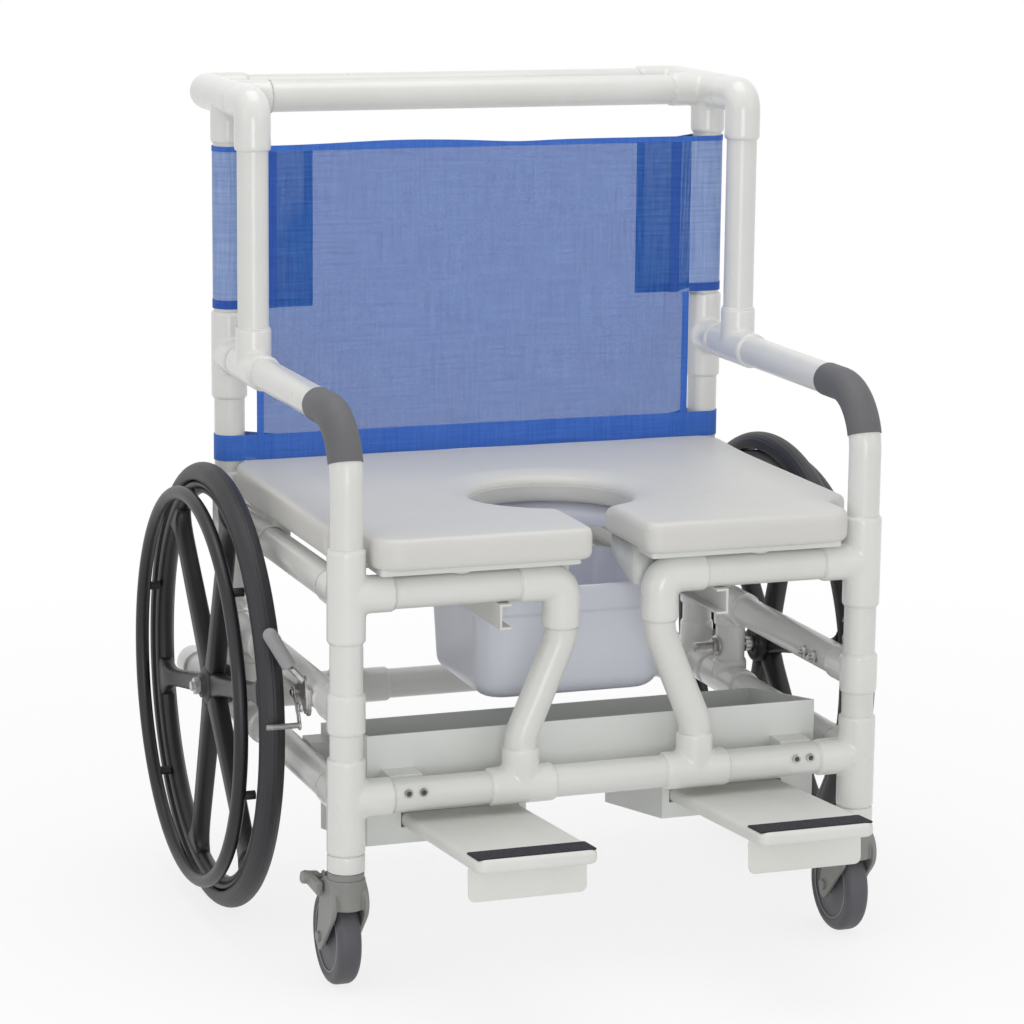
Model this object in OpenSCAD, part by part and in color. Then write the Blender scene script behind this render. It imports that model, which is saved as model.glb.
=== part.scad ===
// Self-propelled shower and commode chair on a plastic pipe frame.
// Millimetres, +Z up, the chair faces -Y, origin on the floor under the middle of its outline.

/* [Pipe and fittings] */
// Outside diameter of the frame pipe
pipe_od = 42.2; // [38:0.1:44]
// Wall of the frame pipe
pipe_wall = 3.6; // [2.5:0.1:5]
// Outside diameter of the pipe fittings
fit_od = 49.4; // [48:0.1:54]
// Length of a full fitting hub from the crossing of its axes
hub_len = 60; // [50:1:61]
// Length of a short collar hub from the crossing of its axes
collar_len = 26; // [25.5:0.5:28]

/* [Frame layout] */
// Distance between the left and right pipe planes
frame_w = 710; // [690:1:740]
// Floor to the bottom of the front legs
leg_bottom = 160; // [156:1:170]
// Floor to the axis of the lower rails
low_z = 254; // [248:1:260]
// Floor to the axis of the middle side rails
mid_z = 367; // [362:1:372]
// Floor to the axis of the seat rails
seat_z = 518; // [512:1:530]
// Floor to the axis of the armrests
arm_z = 741; // [720:1:770]
// Floor to the axis of the top bars
top_z = 1094; // [1075:1:1120]
// Front legs to the axle posts and the armrest drop tubes
post_y = 424; // [418:1:426]
// Front legs to the rear uprights
back_y = 548; // [547:1:556]
// Front legs to the push bar
push_y = 672; // [671:1:700]
// Front legs to the rear end of the lower side rails
tail_y = 768; // [740:1:790]
// Centreline radius of the armrest bend
arm_bend_r = 78; // [66:1:90]

/* [Front access] */
// Middle of the chair to the inner elbows of the front seat rail
gap_x = 68; // [62:1:76]
// Middle of the chair to the tees that hold the bent front tubes
drop_x = 121; // [116:1:128]
// Bend angle of the front tubes
drop_angle = 23; // [23:0.5:26]
// Centreline radius of the bends in the front tubes
drop_bend_r = 60; // [50:1:68]

/* [Rear wheels] */
// Outside diameter of the rear tyres
wheel_d = 610; // [590:1:612]
// Middle of the chair to the middle of a rear tyre
wheel_x = 413; // [411:1:425]
// Width of the tyre
tyre_w = 34; // [28:1:36]
// Radial depth of the tyre
tyre_depth = 26; // [22:1:30]
// Radial depth of the moulded rim under the tyre
rim_depth = 17; // [12:1:22]
// Width of the moulded rim
rim_w = 25; // [22:1:27]
// Centreline diameter of the hand rim
handrim_d = 530; // [520:1:536]
// Tube diameter of the hand rim
handrim_tube = 19; // [15:1:22]
// Tyre middle plane to hand rim middle plane
handrim_out = 35; // [33:1:42]
// Diameter of the axle bolt
axle_d = 12.7; // [10:0.1:14]
// Diameter of the wheel hub
hub_d = 54; // [48:1:60]
// Root width of a spoke at the hub
spoke_root_w = 26; // [20:1:27]
// Tip width of a spoke at the rim
spoke_tip_w = 18; // [14:1:22]
// Thickness of a spoke along the axle
spoke_t = 19; // [14:1:19]

/* [Casters] */
// Diameter of a caster wheel
caster_d = 127; // [120:1:128]
// Width of a caster wheel
caster_w = 32; // [26:1:33]
// Caster trail behind the swivel axis
caster_trail = 38; // [34:1:42]
// Diameter of the caster stem
stem_d = 11; // [9:0.1:13]
// Diameter of the caster axle
caster_axle_d = 8; // [6:0.1:10]

/* [Seat] */
// Thickness of the seat cushion
seat_t = 42; // [34:1:50]
// Half width of the seat behind the front legs
seat_half_w = 362; // [350:1:366]
// Half width of the seat between the front legs
seat_nose_half_w = 326; // [318:1:328]
// Front edge of the seat ahead of the front legs
seat_nose = 42; // [36:1:60]
// Front legs to the rear edge of the seat
seat_back_y = 505; // [480:1:515]
// Front legs to the middle of the seat opening
hole_y = 222; // [210:1:240]
// Radius of the seat opening
hole_r = 110; // [95:1:120]
// Half width of the slot to the front edge
slot_half_w = 36; // [28:1:50]
// Thickness of the board under the cushion
base_t = 9; // [6:0.5:9]

/* [Pail] */
// Half width of the pail under its rim
pail_half_w = 136; // [124:1:136]
// Length of the pail under its rim
pail_len = 227; // [190:1:240]
// Front legs to the front of the pail
pail_front_y = 120; // [110:1:140]
// Floor to the bottom of the pail
pail_bottom = 330; // [320:1:345]
// Floor to the top of the pail rim
pail_top = 482; // [476:1:486]
// Wall of the pail
pail_wall = 3; // [2:0.5:5]
// Middle of the chair to the outer face of a pail channel
channel_x = 157; // [157:0.5:159]

/* [Footrests] */
// Front edge of the footrest boards ahead of the front legs
foot_reach = 250; // [235:1:290]
// Middle of the chair to the middle of a footrest board
board_x = 186.5; // [180:0.5:200]
// Width of a footrest board
board_w = 159; // [140:1:170]
// Thickness of a footrest board
board_t = 18; // [14:0.5:19]
// Front legs to the rear end of the boards
board_end_y = 150; // [130:1:170]
// Slope of the boards, with the front edge higher
board_tilt = 4.3; // [3.5:0.1:5]
// Floor to the middle of the front edge of a board
board_front_z = 227.7; // [226:0.1:232]
// Depth of the stop plate below a board
stop_depth = 43; // [30:1:50]

/* [Tray] */
// Half width of the tray that houses the footrests
tray_half_w = 313; // [300:1:316]
// Front legs to the front wall of the tray
tray_front_y = 45; // [43:0.5:52]
// Length of the tray from front to rear
tray_len = 205; // [195:1:215]
// Height of the tray walls
tray_h = 146; // [130:1:150]
// Floor to the bottom of the tray at its front wall
tray_front_z = 175; // [168:1:178]
// Drop of the tray from front to rear
tray_drop = 34; // [28:1:38]
// Sheet thickness of the tray
tray_wall = 4; // [3:0.5:6]

/* [Back sling] */
// Floor to the bottom hem of the sling
sling_bottom = 594; // [590:1:600]
// Height of the loop hem at the bottom of the sling
sling_band_h = 36; // [28:1:44]
// Floor to the bottom of the upper sleeves
sleeve_bottom = 806; // [804:1:820]
// Axis of the top bar down to the top of the sling
sling_drop = 65; // [62:1:84]
// Half width of the sling between its sleeves
sling_half_w = 320; // [305:1:328]
// Middle of the chair to the inner edge of the sleeve flaps
flap_x = 240; // [220:1:260]
// Thickness of the sling cloth
cloth_t = 1.6; // [1:0.1:2.5]

/* [Hidden] */
$fn = 64;

// Cuts run past the face they open by this much
overrun = 1;
// Gap between a pipe and the fitting, grip or sleeve round it
bond_gap = 0.2;
// Running clearance of pins and axles in their bores
run_gap = 0.05;
// Clearance between neighbouring pieces that move past each other
clear_gap = 0.6;
// Wall left between a branch socket and the pipe that runs through the fitting
stop_wall = 2.4;
// Side hubs are a little slimmer than the hub that the pipe runs through
hub_step = 1.2;

frame_x = frame_w / 2;
pipe_r = pipe_od / 2;
bore_d = pipe_od + 2 * bond_gap;
// Axis of the crossing pipe to the end of a pipe that stops in its side socket
sock = pipe_r + bond_gap + stop_wall;
// Corner radius of the elbows
elbow_r = 27;
// The frame stands with the middle of its outline over the origin
leg_y = (foot_reach - tail_y) / 2;

// Directions of a hub, as turns of the +Z axis
UP = [0, 0, 0];
DOWN = [180, 0, 0];
REAR = [-90, 0, 0];
FRONT = [90, 0, 0];
RIGHT = [0, 90, 0];
LEFT = [0, -90, 0];

white = [0.88, 0.88, 0.86];
cushion_white = [0.84, 0.84, 0.83];
pail_grey = [0.78, 0.80, 0.84];
tray_white = [0.82, 0.84, 0.83];
mesh_blue = [0.25, 0.42, 0.80];
grip_grey = [0.42, 0.42, 0.43];
fork_grey = [0.52, 0.53, 0.51];
tread_grey = [0.33, 0.33, 0.35];
black = [0.12, 0.12, 0.13];
steel = [0.72, 0.72, 0.74];

// Moves the chair's own layout, measured from the front legs, to the origin
module chair() {
  translate([0, leg_y, 0]) children();
}

// The drawn side is the right one, at +X
module both_sides() {
  children();
  mirror([1, 0, 0]) children();
}

module one_side(side) {
  if (side > 0) children();
  else mirror([1, 0, 0]) children();
}

module pipe(len) {
  difference() {
    cylinder(d = pipe_od, h = len);
    translate([0, 0, -overrun]) cylinder(d = pipe_od - 2 * pipe_wall, h = len + 2 * overrun);
  }
}

module pipe_x(x0, x1) {
  translate([x0, 0, 0]) rotate(RIGHT) pipe(x1 - x0);
}

module pipe_y(y0, y1) {
  translate([0, y0, 0]) rotate(REAR) pipe(y1 - y0);
}

module pipe_z(z0, z1) {
  translate([0, 0, z0]) pipe(z1 - z0);
}

// Part of a bend that leaves the origin along +Z and turns towards +X
module bend(start, angle, r, inner_d, outer_d) {
  translate([r, 0, 0])
    rotate([90, 0, 0])
      rotate([0, 0, 180 - start - angle])
        rotate_extrude(angle = angle)
          translate([r, 0])
            difference() {
              circle(d = outer_d);
              circle(d = inner_d);
            }
}

// A fitting with a pipe running through it along one axis and side hubs with blind sockets
module tee(run, back_len, front_len, hubs) {
  difference() {
    union() {
      rotate(run) translate([0, 0, -back_len]) cylinder(d = fit_od, h = back_len + front_len);
      for (i = [0 : len(hubs) - 1])
        rotate(hubs[i][0]) cylinder(d = fit_od - (i + 1) * hub_step, h = hubs[i][1]);
    }
    rotate(run)
      translate([0, 0, -back_len - overrun])
        cylinder(d = bore_d, h = back_len + front_len + 2 * overrun);
    for (h = hubs)
      rotate(h[0]) translate([0, 0, sock]) cylinder(d = bore_d, h = h[1] - sock + overrun);
  }
}

// An elbow whose corner is at the origin, from a hub along +X to a hub along +Z
module elbow(len) {
  difference() {
    union() {
      translate([0, 0, elbow_r]) mirror([0, 0, 1]) bend(0, 90, elbow_r, 0, fit_od);
      translate([0, 0, elbow_r]) cylinder(d = fit_od, h = len - elbow_r);
      translate([elbow_r, 0, 0]) rotate(RIGHT) cylinder(d = fit_od, h = len - elbow_r);
    }
    translate([0, 0, elbow_r]) cylinder(d = bore_d, h = len - elbow_r + overrun);
    translate([elbow_r, 0, 0]) rotate(RIGHT) cylinder(d = bore_d, h = len - elbow_r + overrun);
  }
}

// Frame pipes

// Holes for the axle and for the bolts are drilled square through the pipes
module drill_x(d) {
  rotate(RIGHT) translate([0, 0, -fit_od]) cylinder(d = d, h = 2 * fit_od);
}

module drill_y(d) {
  rotate(REAR) translate([0, 0, -fit_od]) cylinder(d = d, h = 2 * fit_od);
}

// Gap left between the leg and the armrest tube inside the seat corner fitting
butt_gap = 2;

module leg_tubes() {
  color(white) chair() both_sides()
    translate([frame_x, 0, 0]) pipe_z(leg_bottom, seat_z - butt_gap / 2);
}

module arm_tubes() {
  rise = arm_z - arm_bend_r - seat_z - butt_gap / 2;
  color(white) chair() both_sides()
    translate([frame_x, 0, seat_z + butt_gap / 2]) {
      pipe(rise);
      translate([0, 0, rise])
        rotate([0, 0, 90]) bend(0, 90, arm_bend_r, pipe_od - 2 * pipe_wall, pipe_od);
      translate([0, 0, rise + arm_bend_r]) pipe_y(arm_bend_r, back_y - sock);
    }
}

module rear_uprights() {
  color(white) chair() both_sides()
    translate([frame_x, back_y, 0]) pipe_z(low_z + sock, top_z - sock);
}

module drop_tubes() {
  color(white) chair() both_sides()
    translate([frame_x, post_y, 0]) pipe_z(arm_z + sock, top_z - elbow_r);
}

module side_rails() {
  color(white) chair() both_sides() {
    translate([frame_x, 0, seat_z]) pipe_y(sock, back_y - sock);
    difference() {
      translate([frame_x, 0, mid_z]) pipe_y(sock, back_y - sock);
      for (y = lock_bolt_y) translate([frame_x, y, mid_z]) drill_x(lock_bolt_d + 2 * run_gap);
    }
    difference() {
      translate([frame_x, 0, low_z]) pipe_y(sock, tail_y - cap_wall - bond_gap);
      translate([frame_x, spacer_y, low_z]) drill_x(tray_bolt_d + 2 * run_gap);
    }
  }
}

module axle_posts() {
  color(white) chair() both_sides()
    difference() {
      translate([frame_x, post_y, 0]) pipe_z(low_z + sock, mid_z - sock);
      translate([frame_x, post_y, axle_z]) drill_x(axle_d + 2 * run_gap);
    }
}

module push_handle_tubes() {
  color(white) chair() {
    both_sides() translate([frame_x, 0, top_z]) pipe_y(post_y + elbow_r, push_y - elbow_r);
    translate([0, push_y, top_z]) pipe_x(-frame_x + elbow_r, frame_x - elbow_r);
  }
}

module top_crossbar() {
  color(white) chair()
    translate([0, back_y, top_z]) pipe_x(-frame_x + sock, frame_x - sock);
}

module seat_cross_rails() {
  color(white) chair() {
    both_sides() translate([0, 0, seat_z]) pipe_x(gap_x + elbow_r, frame_x - sock);
    translate([0, back_y, seat_z]) pipe_x(-frame_x + sock, frame_x - sock);
  }
}

// The bent tubes leave the inner elbows downwards and swing outwards to the lower front rail
bend_side = drop_bend_r * (1 - cos(drop_angle));
bend_drop = drop_bend_r * sin(drop_angle);
slant_len = (drop_x - gap_x - 2 * bend_side) / sin(drop_angle);
bent_span = seat_z - elbow_r - low_z - sock;
straight_len = bent_span - 2 * bend_drop - slant_len * cos(drop_angle);
// Share of the straight ends that lies above the bends
upper_share = 0.556;

// Rings on each bend, and sides of the swept tube
bend_steps = 7;
tube_sides = 28;

// Stations along a bent tube, counted down from its elbow: sideways, down and lean
bent_stations = let (up = straight_len * upper_share, span = drop_x - gap_x) concat(
  [[0, 0, 0]],
  [
    for (i = [0 : bend_steps])
      let (a = drop_angle * i / bend_steps)
      [drop_bend_r * (1 - cos(a)), up + drop_bend_r * sin(a), a]
  ],
  [
    for (i = [0 : bend_steps])
      let (a = drop_angle * (1 - i / bend_steps), low = bent_span - straight_len * (1 - upper_share))
      [span - drop_bend_r * (1 - cos(a)), low - drop_bend_r * sin(a), a]
  ],
  [[span, bent_span, 0]]
);

function tube_ring(s, r) = [
  for (i = [0 : tube_sides - 1])
    let (a = 360 * i / tube_sides)
    [s[0] + r * cos(a) * cos(s[2]), r * sin(a), s[1] - r * cos(a) * sin(s[2])]
];

// A hollow tube from its outer rings and, on the way back, its inner rings
module swept_tube(stations, outer_r, inner_r) {
  last = len(stations) - 1;
  rings = concat(
    [for (s = stations) tube_ring(s, outer_r)],
    [for (k = [last : -1 : 0]) tube_ring(stations[k], inner_r)]
  );
  n = tube_sides;
  m = len(rings);
  polyhedron(
    points = [for (r = rings) each r],
    faces = [
      for (k = [0 : m - 1])
        for (i = [0 : n - 1])
          let (next = (k + 1) % m, j = (i + 1) % n)
          each [[k * n + i, next * n + i, next * n + j], [k * n + i, next * n + j, k * n + j]]
    ]
  );
}

module bent_front_tubes() {
  color(white) chair() both_sides()
    translate([gap_x, 0, seat_z - elbow_r]) mirror([0, 0, 1])
      swept_tube(bent_stations, pipe_r, pipe_r - pipe_wall);
}

module lower_cross_rails() {
  color(white) chair() {
    difference() {
      translate([0, 0, low_z]) pipe_x(-frame_x + sock, frame_x - sock);
      for (x = tray_bolt_x)
        both_sides() translate([x, 0, tray_bolt_z]) drill_y(tray_bolt_d + 2 * run_gap);
    }
    translate([0, back_y, low_z]) pipe_x(-frame_x + sock, frame_x - sock);
  }
}

// Middle of the chair to the rear posts beside the path of the pail
rear_post_x = 185;

module rear_posts() {
  color(white) chair() both_sides()
    translate([rear_post_x, back_y, 0]) pipe_z(low_z + sock, seat_z - sock);
}

// Pipe fittings

// Front four-way: leg, lower front rail and lower side rail. Its lower hub covers the leg's end
low_hub_up = 54;
low_hub_down = low_z - leg_bottom - bond_gap;

module lower_corner_fittings() {
  color(white) chair() both_sides()
    translate([frame_x, 0, low_z])
      tee(UP, low_hub_down, low_hub_up, [[LEFT, hub_len], [REAR, hub_len]]);
}

module seat_corner_fittings() {
  color(white) chair() both_sides() {
    translate([frame_x, 0, seat_z]) tee(UP, hub_len, hub_len, [[LEFT, hub_len], [REAR, hub_len]]);
    translate([frame_x, back_y, seat_z])
      tee(UP, hub_len, hub_len, [[LEFT, hub_len], [FRONT, hub_len]]);
  }
}

// Run of the tees at the axle posts and armrest drop tubes
post_hub = 55;

// The sockets of an axle post stop short of the axle
post_socket = 31;

module side_tees() {
  color(white) chair() both_sides() {
    translate([frame_x, 0, mid_z]) tee(UP, collar_len, collar_len, [[REAR, hub_len]]);
    translate([frame_x, back_y, mid_z]) tee(UP, collar_len, collar_len, [[FRONT, hub_len]]);
    translate([frame_x, post_y, mid_z]) tee(REAR, post_hub, post_hub, [[DOWN, post_socket]]);
    translate([frame_x, post_y, low_z]) tee(REAR, post_hub, post_hub, [[UP, post_socket]]);
    translate([frame_x, back_y, low_z])
      tee(REAR, hub_len, hub_len, [[UP, hub_len], [LEFT, hub_len]]);
  }
}

module upper_fittings() {
  color(white) chair() both_sides() {
    translate([frame_x, post_y, arm_z]) tee(REAR, post_hub, post_hub, [[UP, post_hub]]);
    translate([frame_x, back_y, arm_z]) tee(UP, hub_len, hub_len, [[FRONT, hub_len]]);
    translate([frame_x, post_y, top_z]) rotate([0, 90, 90]) elbow(hub_len);
    translate([frame_x, back_y, top_z])
      tee(REAR, hub_len, hub_len, [[DOWN, hub_len], [LEFT, hub_len]]);
    translate([frame_x, push_y, top_z]) mirror([1, 0, 0]) rotate([90, 0, 0]) elbow(hub_len);
  }
}

// Run and branch of the tees on the lower front rail
drop_tee_run = 44;
drop_tee_branch = 50;

module front_access_fittings() {
  color(white) chair() both_sides() {
    translate([gap_x, 0, seat_z]) mirror([0, 0, 1]) elbow(hub_len);
    translate([drop_x, 0, low_z]) tee(RIGHT, drop_tee_run, drop_tee_run, [[UP, drop_tee_branch]]);
  }
}

module rear_post_tees() {
  color(white) chair() both_sides() {
    translate([rear_post_x, back_y, low_z]) tee(RIGHT, hub_len, hub_len, [[UP, hub_len]]);
    translate([rear_post_x, back_y, seat_z]) tee(RIGHT, collar_len, collar_len, [[DOWN, hub_len]]);
  }
}

// Domed caps on the rear ends of the lower side rails
cap_len = 48;
cap_wall = 4;
cap_round = 12;

module rail_end_caps() {
  cap_r = fit_od / 2;
  color(white) chair() both_sides()
    translate([frame_x, tail_y - cap_len, low_z]) rotate(REAR)
      difference() {
        rotate_extrude()
          union() {
            square([cap_r, cap_len - cap_round]);
            square([cap_r - cap_round, cap_len]);
            translate([cap_r - cap_round, cap_len - cap_round]) circle(r = cap_round);
          }
        translate([0, 0, -overrun]) cylinder(d = bore_d, h = cap_len - cap_wall + overrun);
      }
}

// Sleeves over the armrest bends, from a little way round the bend to a little way along the arm
grip_wall = 1.2;
grip_from_angle = 17;
grip_back = 40;

module arm_grips() {
  inner_d = pipe_od + 2 * bond_gap;
  outer_d = inner_d + 2 * grip_wall;
  color(grip_grey) chair() both_sides()
    translate([frame_x, 0, arm_z - arm_bend_r]) {
      rotate([0, 0, 90]) bend(grip_from_angle, 90 - grip_from_angle, arm_bend_r, inner_d, outer_d);
      translate([0, arm_bend_r, arm_bend_r]) rotate(REAR)
        difference() {
          cylinder(d = outer_d, h = grip_back);
          translate([0, 0, -overrun]) cylinder(d = inner_d, h = grip_back + 2 * overrun);
        }
    }
}

// Plugs in the leg ends that hold the caster stems
socket_flange_d = 47;
socket_flange_t = 8;
socket_plug_h = 40;

module caster_sockets() {
  color(fork_grey) chair() both_sides()
    translate([frame_x, 0, leg_bottom])
      difference() {
        union() {
          translate([0, 0, -socket_flange_t]) cylinder(d = socket_flange_d, h = socket_flange_t);
          cylinder(d = pipe_od - 2 * pipe_wall - 2 * bond_gap, h = socket_plug_h);
        }
        translate([0, 0, -socket_flange_t - overrun])
          cylinder(d = stem_d + 2 * run_gap, h = socket_flange_t + socket_plug_h + 2 * overrun);
      }
}

// Tray and footrests

tray_back_y = tray_front_y + tray_len;
// Height of the sheet that divides the tray, above the floor at its sides
divider_h = 100;
// Between the boards the floor of the tray is raised
mid_half_w = 100;
mid_lift = 50;
// Clearance of a board in the slots of the tray walls
slot_gap = 1;
board_len = (board_end_y + foot_reach - board_t / 2) / cos(board_tilt);

// Local frame of a footrest board: origin in its rounded front edge, +Y along the slide
module board_frame() {
  translate([board_x, -foot_reach + board_t / 2, board_front_z]) rotate([-board_tilt, 0, 0]) children();
}

// Side outline of the tray, drawn in Y and Z and shrunk by the sheet where it is hollow
module tray_outline(in, low, high) {
  fall = tray_drop / tray_len;
  polygon([
    [tray_front_y + in, tray_front_z - in * fall + low],
    [tray_back_y - in, tray_front_z - tray_drop + in * fall + low],
    [tray_back_y - in, tray_front_z - tray_drop + in * fall + high],
    [tray_front_y + in, tray_front_z - in * fall + high]
  ]);
}

// Draws an outline in Y and Z along X
module along_x(x0, x1) {
  rotate([90, 0, 90]) translate([0, 0, x0]) linear_extrude(height = x1 - x0) children();
}

module board_slot() {
  slot_w = board_w + 2 * slot_gap;
  slot_t = board_t + 2 * slot_gap;
  board_frame()
    translate([-slot_w / 2, 0, -slot_t / 2]) cube([slot_w, foot_reach + tray_back_y + slot_t, slot_t]);
}

module tray() {
  color(tray_white) chair()
    difference() {
      union() {
        difference() {
          along_x(-tray_half_w, tray_half_w) tray_outline(0, 0, tray_h);
          both_sides()
            along_x(mid_half_w, tray_half_w - tray_wall)
              tray_outline(tray_wall, tray_wall, tray_h + overrun);
          along_x(-mid_half_w - overrun, mid_half_w + overrun)
            tray_outline(tray_wall, mid_lift + tray_wall, tray_h + overrun);
          along_x(-mid_half_w + tray_wall, mid_half_w - tray_wall)
            tray_outline(-overrun, -overrun, mid_lift);
        }
        along_x(-tray_wall / 2, tray_wall / 2)
          tray_outline(tray_wall / 2, mid_lift + tray_wall / 2, tray_wall + divider_h);
      }
      both_sides() board_slot();
      for (x = tray_bolt_x)
        both_sides() translate([x, tray_front_y, tray_bolt_z]) drill_y(tray_bolt_d + 2 * run_gap);
      both_sides() translate([tray_half_w, spacer_y, low_z]) drill_x(tray_bolt_d + 2 * run_gap);
    }
}

// Saddle blocks between the rails and the tray
spacer_inset = 63;
spacer_x0 = tray_half_w - spacer_inset;
spacer_w = 44;
spacer_h = 44;
spacer_y = 215;
spacer_len = 40;

module tray_spacers() {
  color(white) chair() both_sides() {
    difference() {
      translate([spacer_x0, 0, low_z - spacer_h / 2]) cube([spacer_w, tray_front_y, spacer_h]);
      translate([spacer_x0 - overrun, 0, low_z]) rotate(RIGHT)
        cylinder(d = bore_d, h = spacer_w + 2 * overrun);
      translate([spacer_x0 - overrun, -overrun, low_z - spacer_h]) cube([
        spacer_w + 2 * overrun,
        saddle_start + overrun,
        2 * spacer_h
      ]);
      for (x = tray_bolt_x) translate([x, 0, tray_bolt_z]) drill_y(tray_bolt_d + 2 * run_gap);
    }
    difference() {
      translate([tray_half_w, spacer_y - spacer_len / 2, low_z - spacer_h / 2])
        cube([frame_x - tray_half_w - saddle_start, spacer_len, spacer_h]);
      translate([frame_x, spacer_y - spacer_len / 2 - overrun, low_z]) rotate(REAR)
        cylinder(d = bore_d, h = spacer_len + 2 * overrun);
      translate([frame_x, spacer_y, low_z]) drill_x(tray_bolt_d + 2 * run_gap);
    }
  }
}

// Pipe axis to the open side of a saddle
saddle_start = 12;

// Bolts through the rails, the saddles and the tray
tray_bolt_d = 6;
tray_bolt_head_d = 11;
tray_bolt_head_t = 2.4;
tray_bolt_insets = [54.5, 34.5];
tray_bolt_x = [for (inset = tray_bolt_insets) tray_half_w - inset];
// The bolts through the front rail sit above its axis
tray_bolt_lift = 7;
tray_bolt_z = low_z + tray_bolt_lift;
tray_bolt_end = 10;

// A round-headed bolt that runs along +Z from its seat at the origin, with a nut near its end
module tray_bolt(grip) {
  cylinder(d = tray_bolt_d, h = grip + tray_bolt_end);
  translate([0, 0, -tray_bolt_head_t]) cylinder(d = tray_bolt_head_d, h = tray_bolt_head_t);
  translate([0, 0, grip]) cylinder(d = 2 * tray_bolt_d, h = tray_bolt_d, $fn = 6);
}

module tray_bolts() {
  color(steel) chair() both_sides() {
    for (x = tray_bolt_x)
      translate([x, -pipe_r, tray_bolt_z]) rotate(REAR) tray_bolt(pipe_r + tray_front_y + tray_wall);
    translate([frame_x + pipe_r, spacer_y, low_z]) rotate(LEFT)
      tray_bolt(frame_x + pipe_r - tray_half_w + tray_wall);
  }
}

// Runners on both edges of each board, held between the tray walls
guide_wall = 3;
guide_lip = 8;

module footrest_guides() {
  half = board_w / 2 + clear_gap;
  high = board_t + 2 * clear_gap;
  span = foot_reach + tray_back_y;
  color(white) chair() both_sides()
    intersection() {
      board_frame()
        for (edge = [0, 1])
          mirror([edge, 0, 0])
            difference() {
              translate([half - guide_lip, 0, -high / 2 - guide_wall])
                cube([guide_lip + guide_wall, span, high + 2 * guide_wall]);
              translate([half - guide_lip - overrun, -overrun, -high / 2])
                cube([guide_lip + overrun, span + 2 * overrun, high]);
            }
      translate([0, tray_front_y + tray_wall, 0])
        cube([frame_x, tray_len - 2 * tray_wall, low_z]);
    }
}

strip_t = 1.6;
strip_len = 38;
stop_t = 4;
// Rounded front edge to the strip and to the stop plate
strip_y = 1;
stop_y = 32;
// The strip and the stop plate are this much narrower than the board on each side
strip_inset = 2;

module footrest_board(side) {
  color(tray_white) chair() one_side(side)
    board_frame() {
      translate([-board_w / 2, 0, -board_t / 2]) cube([board_w, board_len, board_t]);
      translate([-board_w / 2, 0, 0]) rotate(RIGHT) cylinder(d = board_t, h = board_w);
      translate([-board_w / 2 + strip_inset, stop_y, -board_t / 2 - stop_depth])
        cube([board_w - 2 * strip_inset, stop_t, stop_depth + board_t / 2]);
    }
}

module footrest_strip(side) {
  color(black) chair() one_side(side)
    board_frame()
      translate([-board_w / 2 + strip_inset, strip_y, board_t / 2])
        cube([board_w - 2 * strip_inset, strip_len, strip_t]);
}

module left_footrest_board() { footrest_board(-1); }
module right_footrest_board() { footrest_board(1); }
module left_footrest_strip() { footrest_strip(-1); }
module right_footrest_strip() { footrest_strip(1); }

// Pail and its channels

channel_t = 3;
channel_lip = 16;
// The channels hang under the front seat rail
channel_top = seat_z - pipe_r - bond_gap;
channel_h = 33;
channel_front = 18;
channel_end_y = back_y + pipe_r;

module pail_channels() {
  color(white) chair() both_sides()
    translate([channel_x - channel_lip, -channel_front, channel_top - channel_h])
      difference() {
        cube([channel_lip, channel_end_y + channel_front, channel_h]);
        translate([-overrun, -overrun, channel_t])
          cube([
            channel_lip - channel_t + overrun,
            channel_end_y + channel_front + 2 * overrun,
            channel_h - 2 * channel_t
          ]);
      }
}

pail_round = 34;
pail_taper = 6;
pail_rim_out = 4;
pail_rim_h = 36;
pail_flange_t = 5;
pail_flange_inset = 20;
pail_hull_fn = 32;

// A box with rounded upright edges, centred on the pail
module pail_block(half_w, half_len, round, h) {
  for (x = [-1, 1])
    for (y = [-1, 1])
      translate([x * (half_w - round), y * (half_len - round), 0])
        cylinder(r = round, h = h, $fn = pail_hull_fn);
}

module pail_shell(in) {
  half_len = pail_len / 2 - in;
  half_w = pail_half_w - in;
  round = pail_round - in;
  hull() {
    translate([0, 0, in])
      pail_block(half_w - pail_taper, half_len - pail_taper, round, pail_wall);
    translate([0, 0, pail_top - pail_bottom - pail_wall + in])
      pail_block(half_w, half_len, round, pail_wall);
  }
}

module pail() {
  half_len = pail_len / 2;
  inner_half_w = pail_half_w - pail_wall;
  flange_z = channel_top - channel_h + channel_t + clear_gap / 2;
  color(pail_grey) chair()
    translate([0, pail_front_y + half_len, 0]) {
      difference() {
        union() {
          translate([0, 0, pail_bottom]) pail_shell(0);
          translate([0, 0, pail_top - pail_rim_h])
            hull() pail_block(pail_half_w + pail_rim_out, half_len + pail_rim_out, pail_round, pail_rim_h);
          translate([-channel_x + channel_t + clear_gap, -half_len + pail_flange_inset, flange_z])
            cube([
              2 * (channel_x - channel_t - clear_gap),
              pail_len - 2 * pail_flange_inset,
              pail_flange_t
            ]);
        }
        translate([0, 0, pail_bottom]) pail_shell(pail_wall);
        translate([0, 0, pail_top - pail_wall])
          hull() pail_block(inner_half_w, half_len - pail_wall, pail_round - pail_wall, pail_rim_h);
      }
    }
}

// Back sling

sling_front_y = back_y - pipe_r - bond_gap - cloth_t;
sling_top = top_z - sling_drop;

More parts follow.
